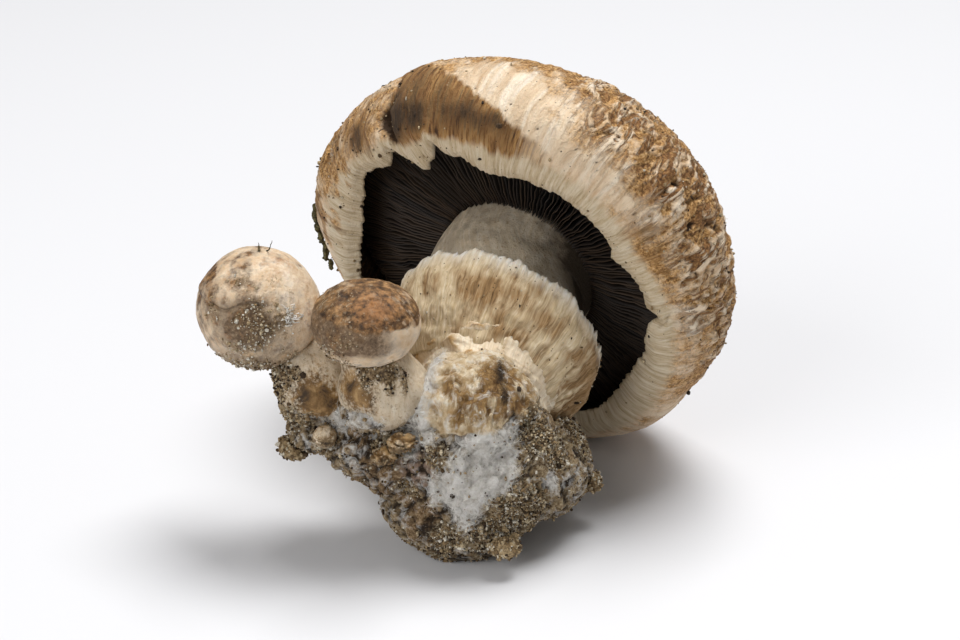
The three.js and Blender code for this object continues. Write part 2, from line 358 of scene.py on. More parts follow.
def finish_material(tree, colour, roughness, height, depth_mm, ior=FLESH_IOR, translucent=0.0, sheen=0.0):
    """The shader itself: a colour, a roughness, and a height that bumps the surface by up to depth_mm."""
    bump = add(tree, "Bump", {"Height": height, "Distance": depth_mm * MM, "Strength": 1.0})
    surface = add(tree, "BsdfPrincipled", {
        "Base Color": colour, "Roughness": roughness, "Normal": bump, "IOR": ior, "Sheen Weight": sheen,
        "Subsurface Weight": translucent, "Subsurface Radius": LIGHT_REACH, "Subsurface Scale": MM})
    add(tree, "OutputMaterial", {"Surface": surface})


def broken(tree, amount, noise, spread, sharp):
    """A mark with its edge broken up by noise, from 0 to 1: spread is how far it wanders."""
    wander = add(tree, "Math", {0: noise, 1: 2 * spread, 2: -spread}, operation="MULTIPLY_ADD")
    moved = add(tree, "Math", {0: amount, 1: wander}, operation="ADD")
    return add(tree, "Math", {0: moved, 1: sharp, 2: 0.5 - 0.5 * sharp}, operation="MULTIPLY_ADD",
               use_clamp=True)


def painted(tree, skin, marks, *coats):
    """Lays coats of colour over a skin in turn. A coat is the mark that says where it lies, its colour, the
    noise that breaks its edge, how far that edge wanders and how sharp it is."""
    for mark, colour, noise, spread, sharp in coats:
        share = broken(tree, marks[mark], noise, spread, sharp)
        skin = add(tree, "Mix", {FACTOR: share, FIRST: skin, SECOND: colour}, out=MIXED, data_type="RGBA")
    return skin


def cap_skin():
    """Cap skin: a dry felt of fibres that run to the rim. It is cream where it is whole, tan to brown where it
    has aged and crumpled, nearly black in the bruise, and palest and silkiest on the rolled-in margin. Its
    raised folds are paler, as painted highlight, and its cracks, crevices and pits and the inside of the cap
    are darkened, as painted shade."""
    tree, marks = new_tree("cap skin", "grain", "lengthways", "browned", "bruised", "blackened_and_shaded", "margin",
                           "torn", "crumpled", "specks")
    place, grain = add(tree, "TexCoord", out=3), marks["grain"]
    tears = add(tree, "TexNoise", {"Vector": marks["lengthways"], "Scale": per_mm(2.3), "Detail": 5.0,
                                   "Roughness": 0.6, "Distortion": 1.3})
    fibre = add(tree, "TexNoise", {"Vector": grain, "Scale": per_mm(0.8), "Detail": 6.0, "Roughness": 0.7})
    coarse = add(tree, "TexNoise", {"Vector": grain, "Scale": per_mm(2.6), "Detail": 5.0, "Roughness": 0.62,
                                    "Distortion": 0.5})
    blotch = add(tree, "TexNoise", {"Vector": place, "Scale": per_mm(4.5), "Detail": 7.0, "Roughness": 0.7})
    fine = add(tree, "TexNoise", {"Vector": place, "Scale": per_mm(0.7), "Detail": 4.0, "Roughness": 0.7})
    cream = add(tree, "ValToRGB", {0: coarse}, stops=[(0.32, "#c9a67f"), (0.5, "#ecd4b4"), (0.68, "#f9ecd8")])
    tan = add(tree, "ValToRGB", {0: fine}, stops=[(0.32, "#5c3d1d"), (0.45, "#a0743f"), (0.57, "#cfa268"),
                                                  (0.72, "#efcfa0")])
    golden = add(tree, "ValToRGB", {0: fibre}, stops=[(0.34, "#412a14"), (0.46, "#80592f"), (0.57, "#b68b54"),
                                                      (0.7, "#e4c594")])
    ink = add(tree, "ValToRGB", {0: fibre}, stops=[(0.36, "#1a120a"), (0.52, "#3f2d1a"), (0.7, "#765936")])
    silk = add(tree, "ValToRGB", {0: fibre}, stops=[(0.3, "#a58e6b"), (0.46, "#cbb694"), (0.62, "#dfd0b6"),
                                                    (0.8, "#f0e7d8")])
    skin = painted(tree, cream, marks, ("browned", tan, blotch, 0.95, 2.0))
    flake = add(tree, "MapRange", {"Value": tears, "From Min": 0.455, "From Max": 0.515})
    bare = add(tree, "MapRange", {"Value": tears, "From Min": 0.5, "From Max": 0.44})
    bare = add(tree, "Math", {0: bare, 1: marks["crumpled"]}, operation="MULTIPLY")
    under = add(tree, "ValToRGB", {0: fine}, stops=[(0.34, "#432a12"), (0.5, "#845a2f"), (0.68, "#b98d58")])
    skin = add(tree, "Mix", {FACTOR: bare, FIRST: skin, SECOND: under}, out=MIXED, data_type="RGBA")
    # The ink and dark brown coats lay the bruise's black and real torn skin, and also painted shade in the
    # cracks, crevices and pits and inside the cap.
    skin = painted(
        tree, skin, marks, ("margin", silk, coarse, 0.5, 2.2), ("bruised", golden, coarse, 0.7, 2.6),
        ("blackened_and_shaded", ink, fibre, 1.7, 1.8), ("torn", "#3f2a16", fine, 0.4, 2.4))
    dot = add(tree, "TexVoronoi", {"Vector": place, "Scale": per_mm(1.9), "Randomness": 1.0})
    dot = add(tree, "Math", {0: fine, 1: -0.24, 2: dot}, operation="MULTIPLY_ADD")
    dot = add(tree, "Math", {0: dot, 1: -0.045}, operation="LESS_THAN")
    dot = add(tree, "Math", {0: dot, 1: marks["specks"]}, operation="MULTIPLY")
    skin = add(tree, "Mix", {FACTOR: dot, FIRST: skin, SECOND: "#3f2a17"}, out=MIXED, data_type="RGBA")
    height = add(tree, "Math", {0: fibre, 1: 0.6, 2: fine}, operation="MULTIPLY_ADD")
    flake = add(tree, "Math", {0: flake, 1: marks["crumpled"]}, operation="MULTIPLY")
    height = add(tree, "Math", {0: flake, 1: 0.9, 2: height}, operation="MULTIPLY_ADD")
    height = add(tree, "Math", {0: tears, 1: 1.6, 2: height}, operation="MULTIPLY_ADD")
    finish_material(tree, skin, 0.7, height, 0.5, translucent=0.04)


def gill_flesh():
    """Ripe gills: papery blades dusted with dark brown spores, a little paler on the free edge."""
    tree, marks = new_tree("gill flesh", "edge", "own")
    place = add(tree, "TexCoord", out=3)
    dust = add(tree, "TexNoise", {"Vector": place, "Scale": per_mm(0.7), "Detail": 4.0, "Roughness": 0.6})
    deep = add(tree, "ValToRGB", {0: dust}, stops=[(0.3, "#070504"), (0.7, "#130d0a")])
    rim = add(tree, "ValToRGB", {0: marks["own"]}, stops=[(0.0, "#1a110a"), (1.0, "#402e1b")])
    colour = add(tree, "Mix", {FACTOR: marks["edge"], FIRST: deep, SECOND: rim}, out=MIXED, data_type="RGBA")
    finish_material(tree, colour, 0.62, dust, 0.05, sheen=0.05)


def stem_skin():
    """Stem flesh: firm and close-grained, with a satin skin that greys towards the gills and yellows and
    cracks into flakes below the ring. The young stems and pinheads are of it too. On the big stem, its
    shaded side and its top under the cap are painted darker, as painted shade."""
    tree, marks = new_tree("stem skin", "grain", "greyed", "yellowed", "bruised", "soiled", "painted_shade")
    place = add(tree, "TexCoord", out=3)
    fibre = add(tree, "TexNoise", {"Vector": marks["grain"], "Scale": per_mm(0.9), "Detail": 5.0,
                                   "Roughness": 0.6})
    blotch = add(tree, "TexNoise", {"Vector": place, "Scale": per_mm(3.5), "Detail": 6.0, "Roughness": 0.62,
                                    "Distortion": 0.5})
    fine = add(tree, "TexNoise", {"Vector": place, "Scale": per_mm(0.8), "Detail": 4.0, "Roughness": 0.65})
    cream = add(tree, "ValToRGB", {0: fibre}, stops=[(0.3, "#c9b18f"), (0.5, "#e0cdb0"), (0.7, "#efe3cd")])
    grey = add(tree, "ValToRGB", {0: blotch}, stops=[(0.35, "#8b7c68"), (0.5, "#b0a18b"), (0.66, "#c9bca8")])
    yellow = add(tree, "ValToRGB", {0: fine}, stops=[(0.3, "#8d6a3c"), (0.5, "#bd9864"), (0.75, "#dfc8a0")])
    brown = add(tree, "ValToRGB", {0: blotch}, stops=[(0.34, "#3a2915"), (0.5, "#76572f"), (0.66, "#ab8a5b")])
    soil = add(tree, "ValToRGB", {0: fine}, stops=[(0.36, "#2a1e11"), (0.48, "#5b472d"), (0.58, "#8b7453"),
                                                   (0.7, "#c3b294")])
    # The last, dark grey-brown coat is painted shade on the big stem's shaded side and its top under the cap.
    skin = painted(
        tree, cream, marks, ("greyed", grey, blotch, 0.3, 1.6), ("yellowed", yellow, blotch, 0.7, 2.2),
        ("bruised", brown, fine, 1.3, 1.7), ("soiled", soil, fine, 0.9, 3.2),
        ("painted_shade", "#3a3024", blotch, 0.3, 1.3))
    height = add(tree, "Math", {0: fibre, 1: 0.6, 2: fine}, operation="MULTIPLY_ADD")
    finish_material(tree, skin, 0.58, height, 0.28, translucent=0.08)


def veil_felt():
    """Veil felt: the soft cottony skirt of the torn veil, in threads that run to its frayed white edge."""
    tree, marks = new_tree("veil felt", "grain", "browned", "frayed")
    place, grain = add(tree, "TexCoord", out=3), marks["grain"]
    thread = add(tree, "TexNoise", {"Vector": grain, "Scale": per_mm(0.6), "Detail": 5.0, "Roughness": 0.68})
    blotch = add(tree, "TexNoise", {"Vector": grain, "Scale": per_mm(3.0), "Detail": 5.0, "Roughness": 0.62})
    cream = add(tree, "ValToRGB", {0: thread}, stops=[(0.26, "#ae946b"), (0.43, "#cbb48e"), (0.6, "#dfccab"),
                                                        (0.78, "#f0e5d0")])
    tan = add(tree, "ValToRGB", {0: thread}, stops=[(0.28, "#5c4428"), (0.5, "#99784f"), (0.78, "#cdb189")])
    felt = painted(tree, cream, marks, ("browned", tan, blotch, 0.7, 1.9))
    felt = add(tree, "Mix", {FACTOR: marks["frayed"], FIRST: felt, SECOND: "#f3ede2"}, out=MIXED,
               data_type="RGBA")
    dot = add(tree, "TexVoronoi", {"Vector": place, "Scale": per_mm(2.0), "Randomness": 1.0})
    dot = add(tree, "Math", {0: dot, 1: 0.075}, operation="LESS_THAN")
    felt = add(tree, "Mix", {FACTOR: dot, FIRST: felt, SECOND: "#3b2917"}, out=MIXED, data_type="RGBA")
    finish_material(tree, felt, 0.8, thread, 0.6, translucent=0.06)


def clump_crust():
    """The foot and the clump it grows from: bruised cream flesh above, then cottony white web, grey where it is
    thin, over black peat with chalk grit, and rusty skins where it has dried. Its clefts and hollows are
    painted near black, as painted shade."""
    tree, marks = new_tree("foot, mycelium and casing soil", "lengthways", "fleshy", "bruised", "streaks_and_crevice_shade",
                           "webbed", "soiled", "browned", "pink")
    place = add(tree, "TexCoord", out=3)
    web = add(tree, "TexNoise", {"Vector": place, "Scale": per_mm(2.6), "Detail": 9.0, "Roughness": 0.66,
                                 "Distortion": 1.0})
    crumb = add(tree, "TexNoise", {"Vector": place, "Scale": per_mm(0.9), "Detail": 7.0, "Roughness": 0.8})
    blotch = add(tree, "TexNoise", {"Vector": place, "Scale": per_mm(4), "Detail": 7.0, "Roughness": 0.7})
    base = add(tree, "ValToRGB", {0: crumb}, stops=[(0.34, "#40301c"), (0.45, "#877050"), (0.56, "#b9a481"),
                                                        (0.7, "#e2d2b5")])
    rust = add(tree, "ValToRGB", {0: crumb}, stops=[(0.34, "#3a2816"), (0.46, "#73593b"), (0.57, "#a68b68"),
                                                        (0.72, "#d6c29f")])
    mottle = add(tree, "TexNoise", {"Vector": place, "Scale": per_mm(2.8), "Detail": 9.0, "Roughness": 0.72})
    streak = add(tree, "TexNoise", {"Vector": marks["lengthways"], "Scale": per_mm(2.0), "Detail": 8.0,
                                    "Roughness": 0.68, "Distortion": 0.6})
    flesh = add(tree, "ValToRGB", {0: mottle}, stops=[(0.34, "#bd9d72"), (0.5, "#e2cba5"), (0.64, "#f7ecd8")])
    brown = add(tree, "ValToRGB", {0: streak}, stops=[(0.34, "#33230f"), (0.45, "#6f4f2a"), (0.56, "#a5814f"),
                                                      (0.7, "#d6bb8e")])
    soil = add(tree, "ValToRGB", {0: crumb}, stops=[(0.36, "#2a1f14"), (0.45, "#6a5740"), (0.53, "#a28e6e"),
                                                     (0.62, "#cdbd9f"), (0.74, "#f0e6d2")])
    white = add(tree, "ValToRGB", {0: web}, stops=[(0.3, "#aba49a"), (0.44, "#d6d1c8"), (0.56, "#efebe4"),
                                                   (0.7, "#fbf9f5")])
    # The near-black coat lays the foot's dark streaks, and painted shade in the clefts and hollows.
    skin = painted(
        tree, base, marks, ("browned", rust, blotch, 0.8, 2.4), ("pink", "#9f8675", blotch, 0.5, 1.4),
        ("fleshy", flesh, blotch, 0.35, 3.5), ("bruised", brown, streak, 1.6, 2.2),
        ("streaks_and_crevice_shade", "#2c1e0e", crumb, 0.9, 1.8), ("soiled", soil, crumb, 0.8, 3.2),
        ("webbed", white, web, 1.7, 1.15))
    height = add(tree, "Math", {0: crumb, 1: 0.9, 2: web}, operation="MULTIPLY_ADD")
    finish_material(tree, skin, 0.8, height, 0.9, translucent=0.04)


def young_cap_skin():
    """Young cap skin: smooth and tight like kid leather, cream-grey, browned and cracked on top, with soil
    rubbed into its pores."""
    tree, marks = new_tree("young cap skin", "browned", "rusty", "soiled", "greyed", "cracked")
    place = add(tree, "TexCoord", out=3)
    blotch = add(tree, "TexNoise", {"Vector": place, "Scale": per_mm(3), "Detail": 7.0, "Roughness": 0.66})
    fine = add(tree, "TexNoise", {"Vector": place, "Scale": per_mm(0.8), "Detail": 5.0, "Roughness": 0.7})
    cream = add(tree, "ValToRGB", {0: blotch}, stops=[(0.3, "#c9a983"), (0.5, "#e3cdb0"), (0.7, "#f3e6d4")])
    patchy = add(tree, "TexNoise", {"Vector": place, "Scale": per_mm(2.0), "Detail": 7.0, "Roughness": 0.68})
    brown = add(tree, "ValToRGB", {0: patchy}, stops=[(0.34, "#33210e"), (0.46, "#604326"), (0.57, "#8b6841"),
                                                      (0.7, "#c09b6c")])
    grey = add(tree, "ValToRGB", {0: fine}, stops=[(0.3, "#3f3020"), (0.5, "#735c44"), (0.74, "#a48d72")])
    soil = add(tree, "ValToRGB", {0: fine}, stops=[(0.36, "#2a1d11"), (0.48, "#59432b"), (0.58, "#877052"),
                                                   (0.72, "#c3b398")])
    skin = painted(
        tree, cream, marks, ("greyed", grey, blotch, 0.7, 1.5), ("browned", brown, blotch, 1.0, 1.7),
        ("rusty", "#a36f3f", patchy, 0.9, 1.6), ("soiled", soil, fine, 1.2, 2.6),
        ("cracked", "#3a2818", fine, 0.3, 3.0))
    finish_material(tree, skin, 0.58, fine, 0.3, translucent=0.06)


def crumb_grit():
    """Casing soil: black peat, brown fibre and chalk grit, each grain of its own colour and dull."""
    tree, marks = new_tree("casing soil grains", "own")
    place = add(tree, "TexCoord", out=3)
    fine = add(tree, "TexNoise", {"Vector": place, "Scale": per_mm(0.4), "Detail": 3.0, "Roughness": 0.6})
    colour = add(tree, "ValToRGB", {0: marks["own"]}, stops=[
        (0.0, "#1f150c"), (0.2, "#59432a"), (0.45, "#9d825b"), (0.7, "#c5ac84"), (0.88, "#e0d0b0"),
        (1.0, "#f4ecda")])
    shade = add(tree, "ValToRGB", {0: fine}, stops=[(0.3, "#8a8a8a"), (0.7, "#ffffff")])
    colour = add(tree, "Mix", {FACTOR: 1.0, FIRST: colour, SECOND: shade}, out=MIXED, data_type="RGBA",
                 blend_type="MULTIPLY")
    finish_material(tree, colour, 0.88, fine, 0.12, DRY_IOR)


def web_thread():
    """Mycelium threads: fine white cotton, a little translucent."""
    tree, _ = new_tree("mycelium threads")
    place = add(tree, "TexCoord", out=3)
    noise = add(tree, "TexNoise", {"Vector": place, "Scale": per_mm(2.0), "Detail": 3.0})
    colour = add(tree, "ValToRGB", {0: noise}, stops=[(0.3, "#c9c2b6"), (0.7, "#f4f0e8")])
    finish_material(tree, colour, 0.8, noise, 0.02, translucent=0.1, sheen=0.2)


def bark_skin():
    """Bark: dry olive-brown flakes with a split grain and paler patches of lichen."""
    tree, _ = new_tree("bark flake")
    place = add(tree, "TexCoord", out=3)
    grain = add(tree, "TexNoise", {"Vector": place, "Scale": per_mm(1.0), "Detail": 7.0, "Roughness": 0.7,
                                   "Distortion": 1.0})
    colour = add(tree, "ValToRGB", {0: grain}, stops=[(0.3, "#15120a"), (0.48, "#433c20"), (0.6, "#6f673f"),
                                                      (0.75, "#a59c78")])
    finish_material(tree, colour, 0.85, grain, 0.4, DRY_IOR)


# ---- the cap --------------------------------------------------------------------------------

CAP_FRAME = frame_along(-CAP_TO_STEM)

# The rolled-in margin is torn: degrees round the opening, millimetres that it opens, and degrees wide.
MARGIN_TEARS = [
    (-14, 3.0, 11), (12, -2.0, 18), (41, 2.0, 9), (59, 3.0, 3.4), (67, -3.4, 4.2), (76.5, 3.6, 1.9),
    (97, -3.2, 9), (112, -0.8, 9), (150, -2.4, 5), (165, 1.0, 5), (176, 3.0, 2.6), (215, -2.6, 20),
]


def cap_radius_scale(degrees):
    """The cap isn't round: it bulges on one side and is pressed flatter opposite."""
    angle = np.radians(degrees)
    bulge = 0.042 * around(degrees, 5.7, 37.2)
    pressed = 0.06 * around(degrees, 207.4, 40.1)
    return 1 + bulge - pressed + 0.006 * np.sin(3 * angle + 1) + 0.005 * np.sin(5 * angle + 2)


def cap_places(degrees, radius, height):
    """Points in the frame from the cap's own angle, radius and height above its opening."""
    across, up, axis = CAP_FRAME
    angle = np.radians(degrees)[:, None]
    reach = radius * (1 + (cap_radius_scale(degrees) - 1) * np.minimum(1, radius / CAP_RADIUS))
    sideways = np.cos(angle) * across + np.sin(angle) * up
    return CAP_CENTRE + reach[:, None] * sideways + height[:, None] * axis


def cap_grid(outside_rows, columns):
    """The cap's closed skin as a grid: its rows, and at each point the angle, the way from the lip in
    millimetres, which is below 0 on the inside, the radius and the height."""
    dome = [[38.7, -0.6], [42, -1.5], [46.6, 0.3], [50.6, 4.6], [CAP_RADIUS, 11.6], [50.4, 19], [44, 26.6],
            [32.5, 32.8], [17, 36.8], [9, CAP_HEIGHT - 0.5], [0.4, CAP_HEIGHT]]
    inside = [[38.2, -0.1], [38.3, 0.8], [39.6, 1.6], [42.9, 4.2], [44.3, 8], [44, FLESH_UNDERSIDE],
              [20, FLESH_UNDERSIDE + 0.2], [0.4, FLESH_UNDERSIDE + 0.2]]
    outer, way = smooth_line(dome, outside_rows)
    inner, back = smooth_line(inside, 26)
    profile = np.vstack([outer[::-1], inner])
    from_lip = np.r_[way[::-1], -0.3 - back]
    rows = len(profile)
    degrees = np.tile(np.arange(columns) * 360 / columns, rows)
    radius = np.repeat(profile[:, 0], columns)
    height = np.repeat(profile[:, 1], columns)
    return rows, degrees, np.repeat(from_lip, columns), radius, height


def shingles(points, size, seed):
    """Torn scales: each one lifts along the third axis and ends in a step. Also 1 in the gaps between them."""
    nearest, number, way = grains(points, size, seed)
    lift = np.clip(0.5 + way[:, 2] * 0.9, 0, 1) * between(nearest, 0.95, 0.35)
    return lift * (0.4 + 0.6 * number), between(nearest, 0.5, 0.85)


def build_cap():
    """The open cap: its torn silky margin, its bruise and deep crack, and crumpled skin over its far side."""
    columns = 560
    rows, degrees, way, radius, height = cap_grid(150, columns)
    angle = np.radians(degrees)
    outside = way >= 0
    opening_radius, grain_radius = 40, 46
    rim = opening_radius * np.stack([np.cos(angle), np.sin(angle), np.zeros_like(angle)], 1)
    tear = sum(amount * around(degrees, middle, width) for middle, amount, width in MARGIN_TEARS)
    tear = tear + 0.8 * rough(rim, 6, 3, 5)
    lip = between(np.abs(way + 0.5), 11, 0) ** 1.3
    ragged = 1.15 * rough(rim, 1.4, 3, 6) * between(np.abs(way + 0.5), 4.5, 0) ** 1.3
    points = cap_places(degrees, radius + lip * tear + ragged, height)
    faces = grid_faces(rows, columns)[:, ::-1]
    outward = normals_of(points, faces)
    local = points - CAP_CENTRE
    spread = grain_radius + (radius - grain_radius) * between(way, 40, 78)
    grain = np.stack([spread * np.cos(angle), spread * np.sin(angle), 0.10 * way], 1) + 0.5 * np.stack(
        [rough(local, 7, 2, 18), rough(local, 7, 2, 19), 0 * way], 1)

    warp = np.stack([rough(local, 6, 2, 21), rough(local, 6, 2, 22), rough(local, 6, 2, 23)], 1)
    right_side = between(degrees, 104, 122) * between(degrees, 235, 205)
    crumpled = np.clip(
        right_side * between(way, 12, 20) * (0.75 + 0.7 * rough(local, 10, 2, 8))
        + 0.75 * around(degrees, 165, 24) * between(way, 6, 12)
        + 0.45 * between(way, 22, 34) + 0.5 * around(degrees, 30, 34) * between(way, 8, 14), 0, 1)
    crumpled *= 1 - 0.85 * around(degrees, 97, 17) * near_band(way, 18, 7)
    lengthways = np.stack([grain[:, 0], grain[:, 1], 0.35 * way], 1)
    coarse_folds = creased(lengthways + 2.6 * warp, 4.2, 4, 3)
    fine_folds = creased(lengthways * 1.1 + 1.6 * warp, 1.7, 3, 4)
    slits = creased(lengthways + 3.5 * warp, 7.0, 2, 24)
    fibres = rough(grain, 1.1, 4, 7)
    relief = 0.9 * rough(local, 24, 3, 1) + 0.30 * rough(local, 6, 4, 2) + 0.13 * fibres
    slits = between(slits, 0.86, 0.97) * between(rough(local, 8, 2, 29), 0.0, 0.3) * crumpled
    relief += crumpled * (1.3 * between(coarse_folds, 0.45, 0.95) + 0.45 * between(fine_folds, 0.45, 0.95)
                          - 0.85 + 0.3 * rough(local, 2.6, 3, 30)) - 1.4 * slits
    pleats = between(np.abs(way - 1), 8, 1)
    relief += pleats * (1 - 0.75 * around(degrees, 220, 60)) * (
        0.12 * rough(rim, 2.1, 3, 11) * between(rough(rim, 14, 2, 31), -0.3, 0.4) + 0.10 * fibres)

    line = 62 + 1.6 * np.sin(way * 0.45) + 1.3 * rough(local, 4, 2, 12) + 1.1 * rough(local, 1.5, 3, 36)
    crack = around(degrees, line, 0.8) * between(way, 4, 7) * between(way, 27, 20)
    gouge = around(degrees, line + 0.3, 2.1) * near_band(way, 10.5, 3.6)
    lobe = around(degrees, line + 9, 9) * between(degrees, line - 0.5, line + 0.8) * between(way, 3, 8)
    left_lip = around(degrees, line - 5, 5) * near_band(way, 9, 6)
    crease_line = 176 + 2.4 * np.sin(way * 0.5 + 1) + 2 * rough(local, 5, 2, 13)
    crease = around(degrees, crease_line, 1.7) * between(way, 0, 2) * between(way, 20, 12)
    folds = around(degrees, 181, 14) * between(way, 3, 7) * between(way, 30, 18)
    relief += -2.2 * crack - 3.0 * gouge + 1.6 * lobe * between(way, 34, 16) + 1.2 * left_lip
    relief += -0.9 * crease - 1.0 * folds * between(creased(lengthways, 3.4, 2, 14), 0.55, 0.95)
    pits = between(grains(local, 3.1, 15)[0] + 0.1 * rough(local, 1, 2, 25), 0.17, 0.05)
    pits = pits * outside * between(way, 4, 9)
    relief -= 0.4 * pits
    relief = np.where(outside, relief, np.where(way > -3, relief * 0.5, 0))
    relief += between(way, 5, 18) * between(way, 72, 48) * (
        2.2 * around(degrees, 130, 32) - 1.3 * around(degrees, 52, 22) - 1.6 * around(degrees, 217, 14))
    relief *= between(points[:, 2], -1.0, 3.0) * 0.9 + 0.1
    points = points + outward * relief[:, None]
    points[:, 2] = np.maximum(points[:, 2], 0.0)

    soft = rough(local, 12, 4, 16)
    margin = between(way, 8.5 + 3 * around(degrees, 130, 40) + 3 * around(degrees, 215, 50)
                     + 4 * around(degrees, 5, 30), 2.0) * 1.15
    smudges = rough(local * np.array([1, 1, 0.6]), 3.2, 5, 32)
    smudged = 0.8 * around(degrees, 18, 34) * between(smudges, -0.1, 0.3)
    window = around(degrees, 97, 15) * near_band(way, 19, 8)
    browned = (0.38 + 0.55 * soft + 0.30 * between(way, 10, 26) + 0.2 * between(way, 24, 40)
               + 0.22 * right_side * between(way, 10, 16)
               # On the crumpled skin the raised folds are less brown: painted highlight on the ridges.
               + crumpled * (0.2 - 0.6 * between(coarse_folds, 0.55, 0.95)
                             - 0.3 * between(fine_folds, 0.6, 0.95))
               + 0.5 * smudged + 0.14 * around(degrees, 203, 28) * between(way, 3, 9)
               + 0.45 * around(degrees, 150, 19) * near_band(way, 9, 5)
               + 0.40 * around(degrees, 34, 26) * near_band(way, 13, 8)
               - 0.75 * window - 0.5 * around(degrees, 116, 18) * near_band(way, 11, 5))
    bruise_top = np.interp(degrees, [60, 68, 80, 90, 99, 112, 126], [28, 26, 21, 16.5, 13.5, 10.5, 8])
    bruise_top = bruise_top + 1.4 * rough(grain, 2.0, 3, 33)
    streaks = 1.6 * rough(grain, 2.4, 3, 26)
    bruised = (0.95 * between(way, bruise_top + 1.4, bruise_top - 1.8) * between(way + streaks, 3, 7.5)
               * between(degrees, 60.5, 63) * between(degrees, 130, 92)
               + 0.75 * around(degrees, 47, 11) * near_band(way + streaks, 12, 8)
               + 0.5 * around(degrees, 150, 19) * near_band(way + 2 * streaks, 9, 4.5)
               + 0.45 * around(degrees, 7, 12) * near_band(way, 13, 6)
               + 0.25 * right_side * between(rough(local, 9, 3, 27), 0.0, 0.3) * between(way, 12, 18)
               + 0.5 * smudged * between(way, 22, 12))
    # Besides the bruise's own black marks, this darkens the gouge and the crack as painted shade.
    blackened_and_shaded = (0.62 * around(degrees, 72, 9) * near_band(way, 10, 3.6)
                 + 0.5 * around(degrees, 94, 9) * near_band(way, 11.5, 2.4)
                 + 0.6 * around(degrees, 64, 2.5) * near_band(way, 11, 6)
                 + 0.6 * around(degrees, 46, 4) * near_band(way, 9, 4)
                 + 0.25 * around(degrees, 152, 12) * near_band(way, 9.5, 2.6) + 0.2 * bruised
                 + 0.6 * rough(lengthways, 4, 4, 34) * np.clip(bruised + crumpled, 0, 1)
                 - 0.4 * (1 - np.clip(bruised + 0.5 * crumpled, 0, 1)) + 1.2 * gouge + 0.7 * crack)
    frayed = between(rough(lengthways + 1.6 * warp, 1.5, 3, 35), 0.12, 0.4)
    # The torn mark is partly real torn skin where the crumpled skin frays, and partly painted shade in the
    # crack, the gouge, the crease, the pits and the slits.
    torn = crack * 1.4 + 1.5 * gouge + 0.35 * crease + 0.7 * pits + slits + crumpled * 0.5 * frayed
    marks = {
        "grain": grain * MM,
        "browned": np.clip(browned, 0, 1.2) * outside,
        "bruised": np.clip(bruised, 0, 1.1) * outside,
        # Inside the cap, past the lip, the mark is painted near black: painted shade under the rim and between
        # the gills.
        "blackened_and_shaded": np.where(outside, np.clip(blackened_and_shaded, -0.6, 1.1), 1.2 * between(way, -1.5, -5)),
        "margin": np.where(outside, margin * (1 - 0.7 * around(degrees, 152, 12) * between(way, 4, 8))
                           * (1 - 0.75 * smudged * between(way, 1, 4)), 1.0),
        "torn": np.clip(torn, 0, 1.2) * outside,
        "crumpled": np.clip(crumpled * 1.1 + 0.12, 0, 1) * between(way, 2, 12) * outside,
        "lengthways": lengthways * MM + 0.6 * MM * warp,
        "specks": 0.5 + 0.5 * between(soft, -0.2, 0.3),
    }
    cap = new_piece("cap_skin", "cap skin", points, faces, marks)
    litter = (0.15 + around(degrees, 20, 36) + around(degrees, 60, 12) + 0.8 * right_side * crumpled
              + 0.8 * around(degrees, 150, 20) * between(way, 14, 8)) * outside * between(way, 55, 30)
    litter = litter * (0.3 + between(rough(local, 7, 3, 28), -0.1, 0.4))
    return cap, points, outward, litter


# ---- the gills ------------------------------------------------------------------------------

def build_gills():
    """Real blades: full ones that reach the stem, and between them short ones that start part of the way out.
    Each blade is a loop of 8 rails that run out from the stem."""
    along, rails = 15, 8
    points, faces, edge, own = [], [], [], []
    start = 0
    for turn in range(2 * FULL_GILLS):
        degrees = (turn + 0.22 * dice.uniform(-1, 1)) * 180 / FULL_GILLS
        inner = GILL_INNER_RADIUS + dice.uniform(0, 0.8)
        if turn % 2:
            inner += dice.uniform(5, 13)
        share = np.linspace(0, 1, along)
        radius = inner + (GILL_OUTER_RADIUS - 0.3 - inner) * share
        seed_place = np.stack([radius, np.full(along, degrees * 0.9), np.full(along, turn * 0.37)], 1)
        wave = 0.8 * rough(seed_place, 6, 2, 40) * between(share, 0, 0.3)
        wave += 0.4 * rough(seed_place, 2.5, 1, 41)
        low = GILL_EDGE + 0.45 * rough(seed_place, 7, 2, 42) + 0.9 * between(share, 0.3, 0) \
            + 1.8 * between(share, 0.9, 1) + (1.0 if turn % 2 else 0) * between(share, 0.4, 0)
        thickness = dice.uniform(0.11, 0.16)
        side_turn = np.degrees(thickness / radius)
        bend = np.degrees(wave / radius)
        heights = [np.full(along, FLESH_UNDERSIDE + 0.4), low + 3.2, low + 0.5, low]
        widths = [1.3, 1.0, 0.75, 0.35]
        sways = [0.4, 0.75, 1.0, 1.05]
        paleness = [0.0, 0.0, 0.45, 1.0]
        for side, order in ((1, range(4)), (-1, range(3, -1, -1))):
            for level in order:
                turned = degrees + bend * sways[level] + side * side_turn * widths[level]
                points.append(cap_places(turned, radius, heights[level]))
                edge.append(np.full(along, paleness[level]))
                own.append(np.full(along, dice.random()))
        step = np.arange(along - 1)
        for rail in range(rails):
            here = start + rail * along
            other = start + (rail + 1) % rails * along
            faces.append(np.stack([here + step, here + step + 1, other + step + 1, other + step], 1))
        for end in (0, along - 1):
            stack = start + np.arange(rails) * along + end
            for rung in range(3):
                quad = [stack[rung], stack[rung + 1], stack[6 - rung], stack[7 - rung]]
                faces.append(np.array([quad if end == 0 else quad[::-1]]))
        start += rails * along
    return new_piece("gill_blades", "gill flesh", np.vstack(points), np.vstack(faces),
                     {"edge": np.concatenate(edge), "own": np.concatenate(own)})


# ---- the stem --------------------------------------------------------------------------------

